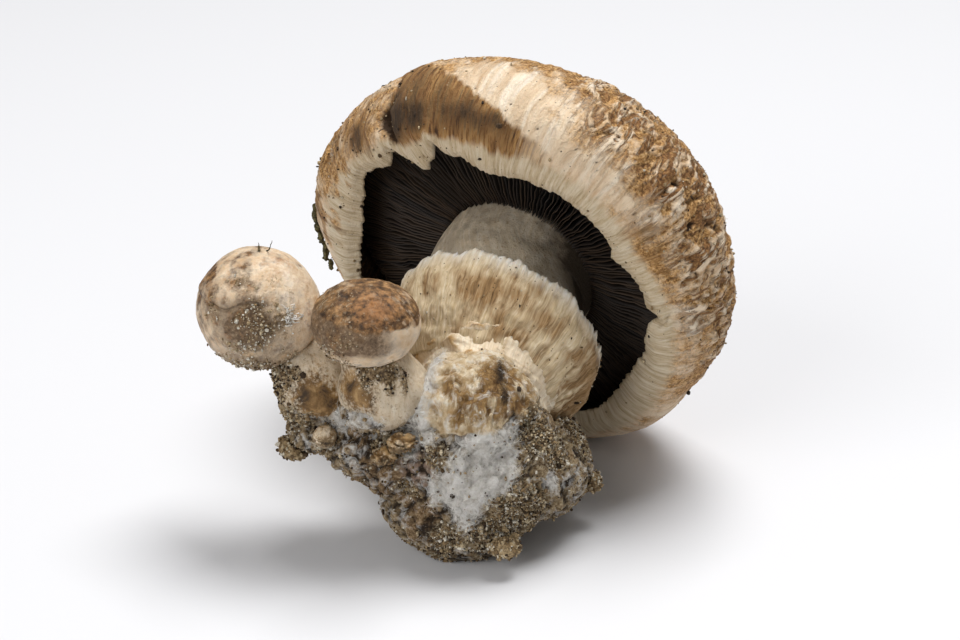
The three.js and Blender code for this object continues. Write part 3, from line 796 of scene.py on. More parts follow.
def build_stem():
    """The big stem: smooth where it meets the cap, and cracked into peeling flakes below the ring."""
    columns, rows = 300, 190
    line, way = smooth_line(STEM_LINE, rows)
    middle, radius = line[:, :3], line[:, 3]
    ahead = np.gradient(middle, axis=0)
    points = np.zeros((rows, columns, 3))
    degrees = np.arange(columns) * 360 / columns
    angle = np.radians(degrees)[:, None]
    for row in range(rows):
        across, up, _ = frame_along(-ahead[row])
        points[row] = middle[row] + radius[row] * (np.cos(angle) * across + np.sin(angle) * up)
    points = points.reshape(-1, 3)
    faces = grid_faces(rows, columns)
    outward = normals_of(points, faces)
    way = np.repeat(way, columns)
    degrees = np.tile(degrees, rows)
    turned = np.radians(degrees)
    grain_radius = 20
    grain = np.stack([grain_radius * np.cos(turned), grain_radius * np.sin(turned), way * 0.12], 1)
    below = between(way, 30, 36)
    sheets = np.stack([grain[:, 0] * 0.35, grain[:, 1] * 0.35, way + 1.5 * rough(points, 7, 3, 50)], 1)
    flakes, gaps = shingles(sheets, 3.4, 51)
    relief = 0.35 * rough(points, 12, 3, 52) + 0.05 * rough(grain, 0.8, 3, 53) * (1 + 2 * below)
    peeling = np.stack([grain[:, 0] * 0.4, grain[:, 1] * 0.4, way], 1)
    peeled = creased(peeling + 1.6 * rough(points, 5, 2, 58)[:, None], 7.5, 3, 59)
    relief += below * (0.5 * flakes + 0.3 * rough(points, 2.5, 3, 54) + 0.7
                       - 1.2 * between(peeled, 0.68, 0.95))
    points = points + outward * relief[:, None]
    marks = {
        "grain": grain * MM,
        # The grey round 150 degrees is painted shade on the stem's shaded right side.
        "greyed": between(way, 31, 22) * (0.55 + 0.5 * rough(points, 9, 3, 55))
        + 0.35 * around(degrees, 150, 50),
        "yellowed": below * (-0.05 + 0.25 * gaps * around(degrees, 40, 60) + 0.4 * rough(points, 6, 3, 56)
                             + 0.65 * between(peeled, 0.76, 0.95) + 0.5 * near(points, (-10, -24, 48), 6)),
        # This mark is painted shade: it darkens the stem's shaded right side and its top under the cap.
        "painted_shade": 1.15 * around(degrees, 176, 36) * between(way, 34, 22)
        + 0.5 * between(way, 25, 13) * (0.6 + 0.8 * rough(points, 3, 4, 60)),
        # The brown round 172 degrees is painted shade on the shaded right side; the rest browns the deepest
        # cracks below the ring and adds blotches.
        "bruised": below * 0.5 * between(peeled, 0.86, 0.98)
        + 0.25 * around(degrees, 172, 40) * between(way, 32, 20)
        + 0.3 * rough(points, 4, 4, 57) * between(way, 34, 28),
        "soiled": np.full(len(points), -0.15),
    }
    return new_piece("stem_shaft", "stem skin", points, faces, marks)


# ---- the ring -------------------------------------------------------------------------------

def build_ring():
    """The veil's skirt: it flares off the neck, and is pleated and frayed into white teeth at its edge."""
    columns, rows = 620, 80
    profile, way = smooth_line([
        [16.2, -20.0], [18.4, -17.6], [20.1, -14.2], [22.0, -10.6], [23.8, -6.6], [24.7, -2.4], [24.8, 0.6],
        [24.3, 2.5], [23.6, 2.1], [22.6, 0.6], [20.4, -3], [17.2, -8]], rows)
    across, up, axis = frame_along(-RING_AXIS)
    degrees = np.tile(np.arange(columns) * 360 / columns, rows)
    angle = np.radians(degrees)
    radius = np.repeat(profile[:, 0], columns)
    height = np.repeat(profile[:, 1], columns)
    way = np.repeat(way, columns)
    rim_radius = 24
    rim = rim_radius * np.stack([np.cos(angle), np.sin(angle), np.zeros_like(angle)], 1)
    to_edge = between(height, -9, 1.5)
    outer = between(way, 1.0, 4.5) * between(way, way.max() - 9, way.max() - 13)
    fray = np.repeat(np.exp(-((profile[:, 1] - 2.2) / 1.2) ** 2), columns)
    shaggy = around(degrees, 205, 34)
    height = height + fray * (1.2 * rough(rim, 5, 2, 70) + (1.3 + 1.6 * shaggy) * rough(rim, 1.2, 3, 71)
                              - 0.2 - 1.0 * shaggy)
    pleating = 0.35 + 0.65 * between(rough(rim, 12, 2, 81), -0.3, 0.3)
    pleats = (0.35 + 0.55 * fray) * pleating * to_edge ** 2 * rough(rim, 1.5, 2, 73)
    radius = radius + 0.7 * to_edge * rough(rim, 7, 2, 72) + pleats
    radius = radius * (1 - 0.055 * around(degrees, 215, 50) * to_edge)
    radius = radius + 0.5 * shaggy * to_edge * rough(rim, 2.5, 2, 82)
    points = RING_CENTRE + radius[:, None] * (np.cos(angle)[:, None] * across + np.sin(angle)[:, None] * up) \
        + height[:, None] * axis
    faces = grid_faces(rows, columns, wrap_rows=True)
    outward = normals_of(points, faces)
    grain = np.stack([rim[:, 0], rim[:, 1], 0.12 * way], 1) + 0.5 * rough(points, 4, 2, 83)[:, None]
    parted = between(creased(grain * np.array([0.8, 0.8, 1.6]), 1.9, 2, 76), 0.66, 0.95)
    relief = outer * (0.15 * rough(grain, 1.1, 3, 74) + 0.9 * rough(points, 5, 4, 75)
                      - 0.32 * parted * (0.35 + 2 * shaggy))
    relief += 0.8 * outer * between(height, -7, -13) * rough(points, 2.6, 3, 77)
    points = points + outward * relief[:, None]
    band = near_band(height, -7.5, 3.4)
    patch = rough(points, 5, 4, 79)
    marks = {
        "grain": grain * MM,
        # At the shaggy end the grooves between the fibres are browned further, as painted shade in the gaps,
        # beside the felt's own brown stains.
        "browned": outer * (0.6 * band * (0.6 + 0.7 * rough(rim, 9, 2, 78)) + 0.26 + 0.75 * patch
                            + 0.3 * near(points, (6, -29, 53), 9) - 0.3 * near(points, (-9, -22, 55), 6)
                            + (0.35 + 0.9 * parted) * shaggy) - 0.4 * between(height, -2, 1),
        "frayed": np.clip(1.3 * fray + 0.5 * between(height, -3, 1), 0, 1) * (0.4 + 0.6 * between(
            rough(rim, 0.9, 2, 80), -0.3, 0.3)) * (1 - 0.5 * shaggy),
    }
    ring = new_piece("veil_skirt", "veil felt", points, faces[:, ::-1], marks)
    return ring, points, outward, outer * (0.3 + band + between(patch, 0, 0.4)) * (degrees < 260)


# ---- the young mushrooms --------------------------------------------------------------------

def button_ball(centre, radii, shift):
    """A slightly uneven ball: the way out at each point, its faces and its points, their height and their way
    aside from its centre, and how far they are on its front, 0 to 1."""
    way_out, faces = ball(7)
    swell = 0.5 * np.sin(2.3 * way_out[:, 0] + 3.1 * way_out[:, 1] + shift)
    points = centre + way_out * radii * (1 + 0.03 * swell)[:, None]
    aside, _, height = (points - centre).T
    return way_out, faces, points, height, aside, between(way_out[:, 1], 0.3, -0.2)


def build_young_left_cap():
    """A round closed button: browned and finely cracked on top, with a fold across its front."""
    way_out, faces, points, height, aside, front = button_ball(YOUNG_LEFT_CAP, YOUNG_LEFT_RADII, 7)
    fold_height = (4.6 + 1.6 * between(aside, -7, 0) - 1.2 * between(aside, 0, 6)
                   + 0.9 * rough(points, 5, 2, 90))
    fold = near_band(height, fold_height, 0.5) * between(aside, 4.5, 1) * between(aside, -12.5, -9) * front
    soil = near_spots(points, [((-43, -40, 56), (6.5, 6, 5), 0.75), ((-51, -36, 57), 5, 0.5),
                               ((-46, -36, 63.5), (6, 4, 1.6), 0.5), ((-47, -40, 50), 6, 0.45)])
    soil += 0.7 * between(height, -4, -10) * front + 0.75 * rough(points, 3.5, 5, 95)
    crust = between(soil, 0.25, 0.8)
    cracks = creased(points, 3.2, 3, 96) * between(height, 4, 9) * between(rough(points, 5, 2, 97), -0.1, 0.3)
    relief = (0.5 * rough(points, 9, 3, 91) + 0.12 * rough(points, 1.6, 4, 92)
              - 0.25 * between(cracks, 0.72, 0.95))
    relief += 0.7 * between(height, fold_height - 0.5, fold_height + 0.6) * between(height, 11, 6) * front \
        * between(aside, 5, -1) - 0.7 * fold
    relief += crust * (0.25 + 0.55 * rough(points, 1.5, 4, 93))
    points = points + way_out * relief[:, None]
    marks = {
        "browned": np.clip(0.42 * between(height, 2, 11) - 0.5 * near(points, (-37, -36, 61), (6, 9, 6))
                           + 0.7 * rough(points, 4, 4, 94) + 0.5 * between(aside, -6, -11)
                           + 0.3 * near(points, (-48, -40, 58), 7), 0, 1.2),
        "rusty": 0.3 * near(points, (-40, -31, 65), 4) + 0.1,
        "soiled": np.clip(soil * 0.75, 0, 1),
        "greyed": np.clip(0.95 * near(points, (-47, -41, 55.5), (7.5, 9, 6))
                          + 0.4 * between(height, -1, -9) * front + 0.1 + 0.3 * rough(points, 5, 3, 98), 0, 1),
        "cracked": fold * 0.5 + 0.4 * between(cracks, 0.76, 0.95),
    }
    cap = new_piece("young_left_cap_skin", "young cap skin", points, faces, marks)
    return cap, points, way_out, soil


def build_young_right_cap():
    """A flatter button with a scabbed brown crust on its top that thins out raggedly halfway down."""
    way_out, faces, points, height, aside, front = button_ball(YOUNG_RIGHT_CAP, YOUNG_RIGHT_RADII, 9)
    edge = 2.6 + 1.4 * between(aside, 0, -8) - 1.3 * between(aside, 2, 10) + 1.7 * rough(points, 5, 3, 100)
    crust = between(height, edge - 0.6, edge + 0.8)
    cracks = creased(points, 3.0, 3, 103) * crust * between(rough(points, 4, 2, 109), 0.0, 0.35)
    relief = 0.45 * rough(points, 8, 3, 101) + 0.1 * rough(points, 1.6, 4, 102)
    relief += crust * (0.12 + 0.35 * rough(points, 2.2, 4, 105)) - 0.3 * between(cracks, 0.7, 0.95)
    soil = near_spots(points, [((-29, -45, 52), (4, 6, 5), 0.6), ((-25, -49, 56), 4, 0.45),
                               ((-29, -40, 61), (5, 6, 3), 0.4)])
    soil += 0.35 * between(height, -3, -7) + 0.4 * rough(points, 4, 4, 106)
    relief += between(soil, 0.3, 0.8) * (0.1 + 0.3 * rough(points, 1.3, 4, 107))
    points = points + way_out * relief[:, None]
    marks = {
        "browned": np.clip(crust * (0.85 + 0.5 * rough(points, 3, 3, 108)) + 0.3 * rough(points, 5, 3, 104)
                           + 0.65 * near(points, (-27.5, -46, 56), (5.5, 6, 5)), 0, 1.2),
        "rusty": crust * (0.05 + 0.6 * near(points, (-20.0, -46, 61), (5, 6, 3.5))),
        "soiled": np.clip(soil * 0.7 + 0.15 * crust * (1 - near(points, (-19, -46, 61), (6, 8, 5))), 0, 1),
        "greyed": np.clip(0.9 * between(height, edge + 1.5, edge) * between(height, -5.5, -1)
                          * between(aside, 10, -1) * front + 0.2 + 0.4 * rough(points, 3, 4, 99), 0, 1),
        "cracked": 0.45 * between(cracks, 0.74, 0.95) + 0.3 * near_band(height, edge, 0.35) * front,
    }
    cap = new_piece("young_right_cap_skin", "young cap skin", points, faces, marks)
    return cap, points, way_out, soil


def build_young_stem(node_name, stains, soils, seed):
    """A young stem with its swollen foot, stained brown and crusted with soil at the spots given."""
    points, faces, outward = remeshed(node_name, voxel=0.42, smoothing=12)
    soil = near_spots(points, soils) + 0.4 * rough(points * STREAKED, 3, 4, seed + 4)
    crust = between(soil, 0.3, 0.8)
    relief = (0.15 + 0.3 * rough(points, 5, 3, seed) + 0.1 * rough(points, 1.4, 3, seed + 1)
              + crust * (0.2 + 0.5 * rough(points, 1.4, 4, seed + 5)))
    points = points + outward * relief[:, None]
    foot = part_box(node_name)[0][2] / MM
    marks = {
        "grain": points * np.array([1, 1, 0.2]) * MM,
        "greyed": 0.55 + 0.3 * rough(points, 6, 3, seed + 2),
        "yellowed": 0.2 + 0.25 * rough(points, 5, 3, seed + 3),
        "bruised": near_spots(points, stains) + 0.2 * rough(points, 4, 3, seed + 6),
        "soiled": np.clip(soil * 0.78 + 0.4 * between(points[:, 2], foot + 7, foot + 3), 0, 1),
    }
    stem = new_piece(node_name + "_skin", "stem skin", points, faces, marks)
    return stem, points, outward, soil


# ---- the clump of mycelium and soil ---------------------------------------------------------

# Rounded lumps that join the foot, the buds and the clump: middle and radii.
JOINING_LUMPS = [
    ((1.67, -36.5, 33.6), (13.3, 12.8, 13.4)), ((10.0, -37.5, 26), (9.2, 9.5, 10.5)),
    ((-4, -41, 26.5), (9, 8.5, 9)), ((-32.9, -30.9, 33.2), (8.9, 8.9, 6.2)),
    ((-18.2, -38.5, 35.4), (9.8, 9.5, 5.6)), ((-9, -41, 36), (4.2, 4.6, 5.5)),
    ((-26, -37, 34), (4, 4, 4)), ((-15.8, -38.5, 21.5), (8.4, 8, 8.4)),
]
# Where the web is thick and white, where bare soil shows, where it has dried brown, and the foot's bruises.
WHITE_WEB = [
    ((4, -48, 28.5), 5.6), ((-1, -51, 19.5), 5.6), ((7, -49, 24), 4.2), ((1, -50, 24), 4.6),
    ((-12, -43, 38), 4.5), ((-6, -49, 22), 3.6), ((3, -48.5, 32), 3.6), ((-13, -44, 27), 2.2),
    ((16.7, -44, 20.5), 2.4),
    ((-19, -47, 40), 5), ((0, -50, 13), 2.6), ((-28, -39, 32), 3.4), ((-12.6, -42, 31), 3.6),
    ((8.5, -47, 33), 2.6), ((-23, -45, 36), 3.5),
]
BARE_SOIL = [
    ((14, -42, 30), 4.5), ((12.7, -44, 35), 2.6), ((18, -40, 25), 4.2), ((9.5, -49, 18), 4.4),
    ((12, -47, 13), 5), ((-7, -47.5, 27.8), 2.8), ((23, -28, 24), 6), ((-14, -46, 18.4), 2.4),
    ((-18, -45, 28), 3.6),
    ((-5, -49, 8.5), 4.5), ((-38, -32, 28), 4), ((-31, -38, 27), 3), ((4, -50, 9), 4), ((-36, -36, 33), 3.5),
]
DRIED_BROWN = [
    ((-11, -48, 13), 5.5), ((-20, -44, 22), 5), ((-2.6, -50.5, 22.4), 1.5), ((20, -38, 31), 4),
    ((-24, -41, 29), 4), ((-12.5, -46, 24), 4), ((-15, -46, 34), 4),
]
FOOT_BRUISES = [
    ((4.0, -43, 44), (3.4, 5, 5), 0.95), ((7.6, -43, 42), (2.6, 5, 5), 0.9), ((13, -39, 41), (4, 7, 5), 0.5),
    ((-2.5, -46.5, 40.5), (4, 4, 3), 0.4), ((-4.3, -43, 43.5), (2.6, 5, 3), 0.6),
    ((-1.5, -48.5, 36.8), (5, 4, 2.2), 0.55), ((9, -46, 37.5), (4.5, 4, 3), 0.7),
    ((1, -47, 40), (3, 4, 3), 0.45),
]
# The ridge of cottony web that runs down the foot's left side.
RIDGE_LINE = [(-6.0, -34.0, 45.0), (-8.6, -41.2, 41.2), (-10.6, -43.5, 36.0), (-9.5, -46.5, 31.0)]


def fleshy_zone(points):
    """1 on the foot's bare flesh, whose edge runs unevenly down to the web and the soil."""
    rise = 33.5 + 3.5 * between(points[:, 0], 3, 10) + 1.8 * rough(points, 4, 4, 118)
    return between(points[:, 2], rise - 1, rise + 1) * between(points[:, 0], -12, -9.5)


def build_clump():
    """The foot and the clump in one body: flesh runs down into web and soil without a seam."""
    points, faces, outward = remeshed("mycelium_clump", voxel=0.46, smoothing=14, lumps=JOINING_LUMPS)
    flesh_folds = creased(points * STREAKED + 1.5 * rough(points, 5, 2, 124)[:, None], 5.5, 3, 125)
    relief = 0.9 * rough(points, 9, 3, 110) + 0.7 * rough(points, 3, 5, 111)
    fleshy = fleshy_zone(points)
    clefts = creased(points + 1.5 * rough(points, 4, 2, 123)[:, None], 4.4, 4, 122)
    clefts = between(clefts, 0.62, 0.95) * (1 - fleshy)
    relief -= 0.9 * clefts
    relief += fleshy * (0.5 * rough(points, 5, 3, 126) - 0.8 * between(flesh_folds, 0.72, 0.97))
    spine, _ = smooth_line(RIDGE_LINE, 14)
    away = np.min([np.linalg.norm(points - place, axis=1) for place in spine], axis=0)
    ridge = np.exp(-(away / 2.5) ** 2)
    soil = near_spots(points, BARE_SOIL) + 0.55 * rough(points, 5, 4, 112)
    web = near_spots(points, WHITE_WEB) + 0.95 * rough(points, 4.5, 5, 113) + 0.9 * ridge
    soil = np.clip((soil + 0.25 * between(outward[:, 2], -0.2, -0.9)) * (1 - 0.85 * fleshy), 0, 1.2)
    web = np.clip(web - 0.7 * soil - 0.8 * fleshy * (1 - ridge), 0, 1.2)
    nearest, number, _ = grains(points, 1.5, 114)
    finer, _, _ = grains(points, 0.9, 115)
    gritty = (0.6 * between(nearest, 0.7, 0.1) * number + 0.35 * between(finer, 0.7, 0.1)
              + 0.5 * rough(points, 1.5, 3, 119) - 0.2)
    relief += between(soil, 0.15, 0.6) * gritty
    relief += 0.7 * web * (1 + 0.5 * rough(points, 2.4, 3, 120)) + 0.9 * ridge
    hollow = near(points, (-15, -47, 33.8), (3.6, 5, 3.4))
    relief -= 2.6 * hollow + near_spots(points, [((-14, -46, 18.4), 2.1, 1.9), ((12.8, -44, 34), 2.0, 1.8)])
    relief *= between(points[:, 2], 0.0, 2.5)
    points = points + outward * relief[:, None]
    points[:, 2] = np.maximum(points[:, 2], 0.0)
    marks = {
        "fleshy": fleshy,
        "bruised": fleshy * (near_spots(points, FOOT_BRUISES) + 0.3 * rough(points * STREAKED, 2, 4, 121)
                             + 0.35 * between(flesh_folds, 0.75, 0.97)) * (1 - ridge),
        # Dark streaks on the foot, and painted shade in the clefts, the hollow and a dip beside the foot.
        "streaks_and_crevice_shade": near_spots(points, [
            ((6.4, -41, 45), (1.3, 5, 3.5), 0.85), ((7.4, -45.8, 41), (1.2, 3, 3), 0.7),
            ((12.8, -44, 34), 2.2, 0.6)]) + 0.7 * hollow + 0.95 * clefts,
        # The web is left out of the hollow, so that its painted shade shows.
        "webbed": web * (1 - 0.8 * hollow),
        "soiled": np.clip(0.08 + soil * 0.9 - 0.4 * web - 0.3 * fleshy, 0, 1.2),
        "lengthways": points * STREAKED * MM,
        "browned": near_spots(points, DRIED_BROWN) + 0.6 * rough(points, 5, 4, 116) + 0.2,
        "pink": near(points, (-11, -47, 24.5), 4.5) + 0.7 * near(points, (-0.5, -49.5, 32), 3)
        + 0.3 * rough(points, 9, 3, 117),
    }
    clump = new_piece("clump_body", "foot, mycelium and casing soil", points, faces, marks)
    litter = between(soil, 0.2, 0.85) + 0.03 * (1 - fleshy) + 0.004
    return clump, points, outward, litter, web


def scatter_grains(name, places, normals, sizes, shades):
    """Loose grains half sunk into a surface: each one a knobbly stone or crumb of its own shape."""
    shape, faces = ball(1)
    count, corners = len(places), len(shape)
    turned = dice.normal(size=(count, 3))
    stretch = dice.uniform(0.5, 1.4, (count, 3))
    own_lumps = smooth_noise(np.tile(shape, (count, 1)) * 1.7 + np.repeat(turned * 9, corners, 0), 120)
    lumps = 1 + 0.35 * own_lumps.reshape(count, corners)
    points = shape[None] * stretch[:, None] * lumps[..., None] * sizes[:, None, None]
    points = points + (places + normals * (0.3 * sizes)[:, None])[:, None]
    points[..., 2] = np.maximum(points[..., 2], 0.02)
    every = (faces[None] + (np.arange(count) * corners)[:, None, None]).reshape(-1, 3)
    return new_piece(name, "casing soil grains", points.reshape(-1, 3), every,
                     {"own": np.repeat(shades, corners)}, smooth=False)


def picked(points, normals, chance, count):
    """Points drawn at random from a surface, with the chance given at each one."""
    chance = np.clip(chance, 0, None)
    chosen = dice.choice(len(points), size=count, p=chance / chance.sum())
    return points[chosen] + dice.normal(scale=0.12, size=(count, 3)), normals[chosen]


def dusted(name, surface, chance, count, size, spread=0.4, pale=0.0):
    """A scatter of soil grains over a surface: how many, how big, and how far they lean to chalk."""
    places, normals = picked(*surface, chance, count)
    sizes = size * np.exp(dice.normal(scale=spread, size=count))
    shades = np.clip(dice.random(count) ** 1.1 + pale, 0, 1)
    keep(scatter_grains(name, places, normals, np.minimum(sizes, 3 * size), shades), "casing_soil")


def scatter_threads(name, finish, places, normals, lengths, thickness, curl=0.5, lift=0.55, fall=0.58):
    """Fine threads that leave the surface, wander over it and lie back on it. The more lift and the less fall,
    the straighter up they stand."""
    steps, sides = 6, 3
    count = len(places)
    heading = np.cross(normals, dice.normal(size=(count, 3)))
    heading /= np.linalg.norm(heading, axis=1, keepdims=True)
    line = [places]
    for step in range(steps):
        heading = heading + curl * dice.normal(size=(count, 3)) + normals * lift * (1 - fall * step)
        heading /= np.linalg.norm(heading, axis=1, keepdims=True)
        line.append(line[-1] + heading * (lengths / steps)[:, None])
    line = np.stack(line, 1)
    line[..., 2] = np.maximum(line[..., 2], 0.1)
    ahead = np.gradient(line, axis=1)
    ahead /= np.maximum(np.linalg.norm(ahead, axis=2, keepdims=True), 1e-6)
    side = np.cross(ahead, normals[:, None])
    side /= np.maximum(np.linalg.norm(side, axis=2, keepdims=True), 1e-6)
    other = np.cross(ahead, side)
    turn = 2 * np.pi * np.arange(sides) / sides
    taper = (thickness * np.linspace(1, 0.35, steps + 1))[None, :, None, None]
    round_it = np.cos(turn)[:, None] * side[:, :, None] + np.sin(turn)[:, None] * other[:, :, None]
    points = line[:, :, None] + taper * round_it
    rung = np.arange(steps)[:, None] * sides
    column = np.arange(sides)[None]
    after = (column + 1) % sides
    quads = np.stack([rung + column, rung + after, rung + after + sides, rung + column + sides], -1)
    quads = quads.reshape(-1, 4)
    every = (quads[None] + (np.arange(count) * sides * (steps + 1))[:, None, None]).reshape(-1, 4)
    return new_piece(name, finish, points.reshape(-1, 3), every)


def build_crumb(node_name, seed):
    """A crumb of casing soil: small grains pressed together, each of its own colour."""
    points, faces, outward = remeshed(node_name, voxel=0.28, smoothing=4)
    nearest, number, _ = grains(points, 0.9, seed)
    relief = 0.45 * between(nearest, 0.8, 0.1) * number + 0.2 * rough(points, 1.2, 3, seed)
    points = points + outward * relief[:, None]
    own = np.clip(0.25 + number * 0.6, 0, 1)
    crumb = new_piece(node_name + "_grit", "casing soil grains", points, faces, {"own": own})
    return crumb, points, outward


def build_pinhead(node_name, seed, dried):
    """A bud no bigger than a pea: a smooth one, or one that dried into curled yellow-brown folds."""
    points, faces, outward = remeshed(node_name, voxel=0.25, smoothing=6)
    low, high = points.min(0), points.max(0)
    folds = rough(points * np.array([1, 0.5, 1.6]), 1.8, 3, seed)
    creases = creased(points * np.array([1, 0.6, 1.5]), 2.4, 2, seed + 20)
    relief = (0.7 if dried else 0.15) * folds - (0.8 if dried else 0.1) * between(creases, 0.65, 0.95)
    points = points + outward * relief[:, None]
    top = between(points[:, 2], low[2] + 0.4 * (high[2] - low[2]), high[2])
    marks = {
        "grain": points * MM,
        "greyed": np.full(len(points), 0.3),
        "yellowed": np.full(len(points), 0.55 if dried else 0.3) + 0.4 * folds,
        "bruised": between(creases, 0.62, 0.9) * (0.8 if dried else 0.3) + 0.3 * folds + 0.35,
        "soiled": 0.55 * (1 - top) + 0.2 * folds
        + 0.6 * near(points, (low + high) / 2 + [0.3, -2, -0.5], 1.0),
    }
    return new_piece(node_name + "_skin", "stem skin", points, faces, marks)


def build_flake(node_name, lumps, seed):
    """A ragged flake of bark caught on the cap's side, drawn out by lumps given by middle and radii."""
    points, faces, outward = remeshed(node_name, voxel=0.24, smoothing=3, lumps=lumps)
    relief = 0.7 * rough(points, 1.3, 4, seed) - 0.35 * between(creased(points, 1.5, 2, seed + 5), 0.7, 0.95)
    return new_piece(node_name + "_bark", "bark flake", points + outward * relief[:, None], faces)


# ---- the room -------------------------------------------------------------------------------

def build_floor():
    """A pale matt sheet under the cluster, wide enough to fill the view."""
    tree, _ = new_tree("pale floor")
    sheet = add(tree, "BsdfPrincipled", {"Base Color": "#dfdfe1", "Roughness": 0.5})
    add(tree, "OutputMaterial", {"Surface": sheet})
    half = 4 / MM
    corners = np.array([[-half, -half, 0], [half, -half, 0], [half, half, 0], [-half, half, 0]])
    floor = new_piece("floor", "pale floor", corners, [[0, 1, 2, 3]], smooth=False)


def soft_light(name, place, target, size, power):
    """A square-cornered softbox of white light, turned to face its target."""
    light = bpy.data.lights.new(name, "AREA")
    light.shape = "RECTANGLE"
    light.size, light.size_y = size
    light.energy = power
    lamp = bpy.data.objects.new(name, light)
    lamp.location = place
    lamp.rotation_euler = (Vector(target) - Vector(place)).to_track_quat("-Z", "Y").to_euler()
    bpy.context.scene.collection.objects.link(lamp)


def light_room():
    """A large softbox over and behind the object, a window at its front left, and weak light all round."""
    world = bpy.data.worlds.new("studio")
    bpy.context.scene.world = world
    world.use_nodes = True
    sky = world.node_tree.nodes["Background"].inputs
    sky["Color"].default_value = linear("#f6f7f9")
    sky["Strength"].default_value = 0.25
    soft_light("overhead", place=(0.24, 0.22, 1.3), target=(0, 0, 0.04), size=(0.8, 0.6), power=19.2)
    soft_light("window", place=(-0.75, -0.85, 0.75), target=(0, 0, 0.05), size=(0.9, 0.7), power=7.8)


def place_camera():
    """A long lens that looks down a little at the object, square to its front."""
    lens = bpy.data.cameras.new("camera")
    lens.lens = CAMERA_LENS
    lens.clip_start = 0.01
    camera = bpy.data.objects.new("camera", lens)
    bpy.context.scene.collection.objects.link(camera)
    backwards = Vector((0, -math.cos(CAMERA_ELEVATION), math.sin(CAMERA_ELEVATION)))
    camera.location = LOOK_AT + CAMERA_AWAY * backwards
    camera.rotation_euler = (math.pi / 2 - CAMERA_ELEVATION, 0, 0)
    bpy.context.scene.camera = camera


# ---- putting it together --------------------------------------------------------------------

def keep(piece, slot, *nodes):
    """The piece rides with the cluster and stands for its CAD nodes, which it hides. The slot is not used."""
    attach(piece, "root")
    if nodes:
        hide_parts(*nodes)


place_camera()
light_room()
build_floor()
bpy.context.scene.view_settings.view_transform = "Standard"

for make_finish in (cap_skin, gill_flesh, stem_skin, veil_felt, clump_crust, young_cap_skin, crumb_grit,
                    web_thread, bark_skin):
    make_finish()
cap, cap_points, cap_normals, cap_litter = build_cap()
keep(cap, "cap_skin", "cap")
keep(build_gills(), "gill_flesh", "gills")
keep(build_stem(), "stem_flesh", "stem")
ring, ring_points, ring_normals, ring_litter = build_ring()
keep(ring, "veil", "ring")
young_left, *left_surface, left_soil = build_young_left_cap()
keep(young_left, "young_cap_skin", "young_left_cap")
young_right, *right_surface, right_soil = build_young_right_cap()
keep(young_right, "young_cap_skin", "young_right_cap")
left_stem, *left_stem_surface, left_stem_soil = build_young_stem(
    "young_left_stem", [((-34.7, -40, 38.8), 5.4), ((-31, -40, 36), 3.6)],
    [((-38.5, -37, 42.5), (3.5, 5, 2.5)), ((-41, -34, 37), 4)], 130)
keep(left_stem, "young_stem_flesh", "young_left_stem")
right_stem, *right_stem_surface, right_stem_soil = build_young_stem(
    "young_right_stem", [((-25.4, -44, 43), 4.4), ((-22, -46, 41), 3)],
    [((-18.5, -46, 46.5), (5.5, 5, 1.8)), ((-17, -46, 44), (1.2, 4, 3)), ((-13.8, -45.5, 43.8), (1, 3, 3)),
     ((-22, -46, 44.5), (1.4, 4, 3))], 140)
keep(right_stem, "young_stem_flesh", "young_right_stem")
clump, *clump_surface, clump_litter, clump_web = build_clump()
keep(clump, "mycelium_and_soil", "mycelium_clump")

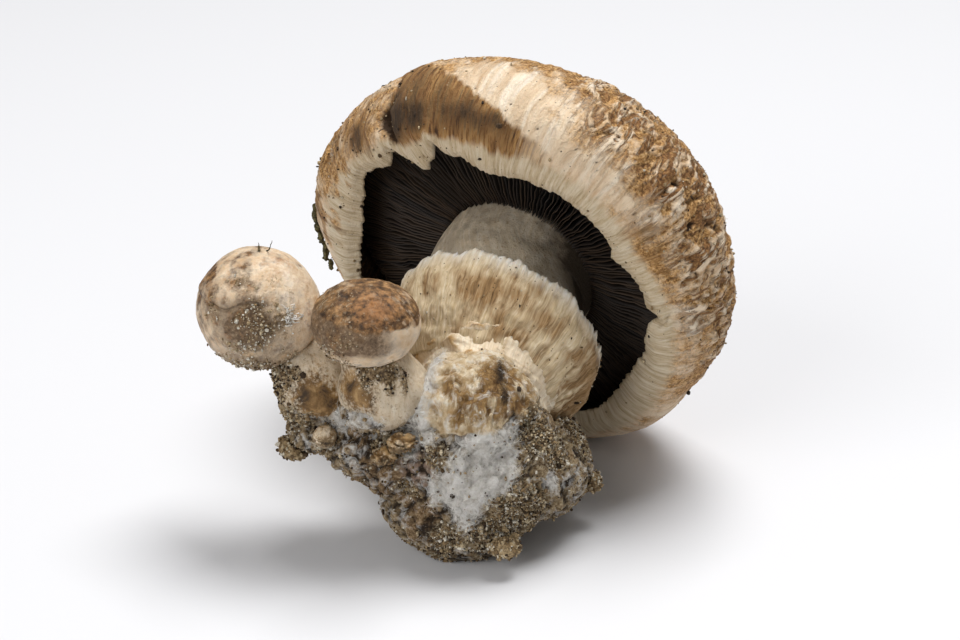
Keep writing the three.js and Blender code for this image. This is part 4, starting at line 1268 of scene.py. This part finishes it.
for number, node_name in enumerate(("soil_crumb_left", "soil_crumb_right", "soil_crumb_front")):
    crumb, *crumb_surface = build_crumb(node_name, 150 + number)
    keep(crumb, "casing_soil", node_name)
    dusted(node_name + "_grains", crumb_surface, np.ones(len(crumb_surface[0])), 160, 0.3, pale=0.1)
for number, node_name in enumerate(("pinhead_left", "pinhead_dried_upper", "pinhead_dried_lower")):
    keep(build_pinhead(node_name, 160 + number, node_name != "pinhead_left"), "pinhead_skin", node_name)
for number, (node_name, lumps) in enumerate((
        ("bark_flake_upper", [((-37.0, 34.9, 50.6), (0.8, 1.5, 2.4)), ((-36.5, 35.2, 47.4), (0.8, 1.3, 1.9))]),
        ("bark_flake_lower", [((-35.9, 36.6, 44.4), (0.8, 1.6, 2.6)), ((-34.9, 36.9, 40.2), (0.8, 1.5, 2.8)),
                              ((-33.7, 37.0, 36.6), (0.6, 1.1, 1.7))]))):
    keep(build_flake(node_name, lumps, 170 + number), "bark", node_name)

dusted("clump_grains", clump_surface, clump_litter, 8500, 0.2, pale=0.08)
dusted("clump_crumbs", clump_surface, clump_litter, 320, 0.36, 0.3, 0.05)
dusted("young_left_grains", left_surface, between(left_soil, 0.3, 0.9), 900, 0.18, pale=0.25)
dusted("young_right_grains", right_surface, between(right_soil, 0.25, 0.8), 300, 0.14, pale=0.1)
dusted("left_stem_grains", left_stem_surface, between(left_stem_soil, 0.3, 0.8), 420, 0.22)
dusted("right_stem_grains", right_stem_surface, between(right_stem_soil, 0.3, 0.8), 260, 0.18)
dusted("cap_litter", (cap_points, cap_normals), cap_litter, 900, 0.19, 0.45)
dusted("ring_litter", (ring_points, ring_normals), ring_litter, 160, 0.16)
for name, spot, reach, count, size in (("cap_scrap_left", (-22, 29, 93), 1.6, 26, 0.4),
                                       ("cap_scrap_top", (13, 22, 98), 1.0, 10, 0.35)):
    on_skin = cap_points[np.argmin(np.linalg.norm(cap_points - spot, axis=1))]
    near_spot = near(cap_points, on_skin, reach)
    dusted(name, (cap_points, cap_normals), near_spot, count, size)

places = picked(*clump_surface, between(clump_web, 0.25, 0.9), 2600)
keep(scatter_threads("clump_threads", "mycelium threads", *places, dice.uniform(1.0, 3.5, 2600),
                     thickness=0.032), "mycelium_and_soil")
places = picked(*left_surface, near(left_surface[0], (-38, -39, 56.5), (1.2, 3, 2.0)), 46)
keep(scatter_threads("veil_scrap", "mycelium threads", *places, dice.uniform(1.0, 2.4, 46),
                     thickness=0.17, curl=0.45, lift=0.7), "veil")
places = picked(*left_surface, near(left_surface[0], (-44, -29, 67.5), 0.8), 3)
keep(scatter_threads("twig", "bark flake", *places, np.array([3.6, 2.4, 1.4]),
                     thickness=0.2, curl=0.3, lift=0.8, fall=0.2), "bark")
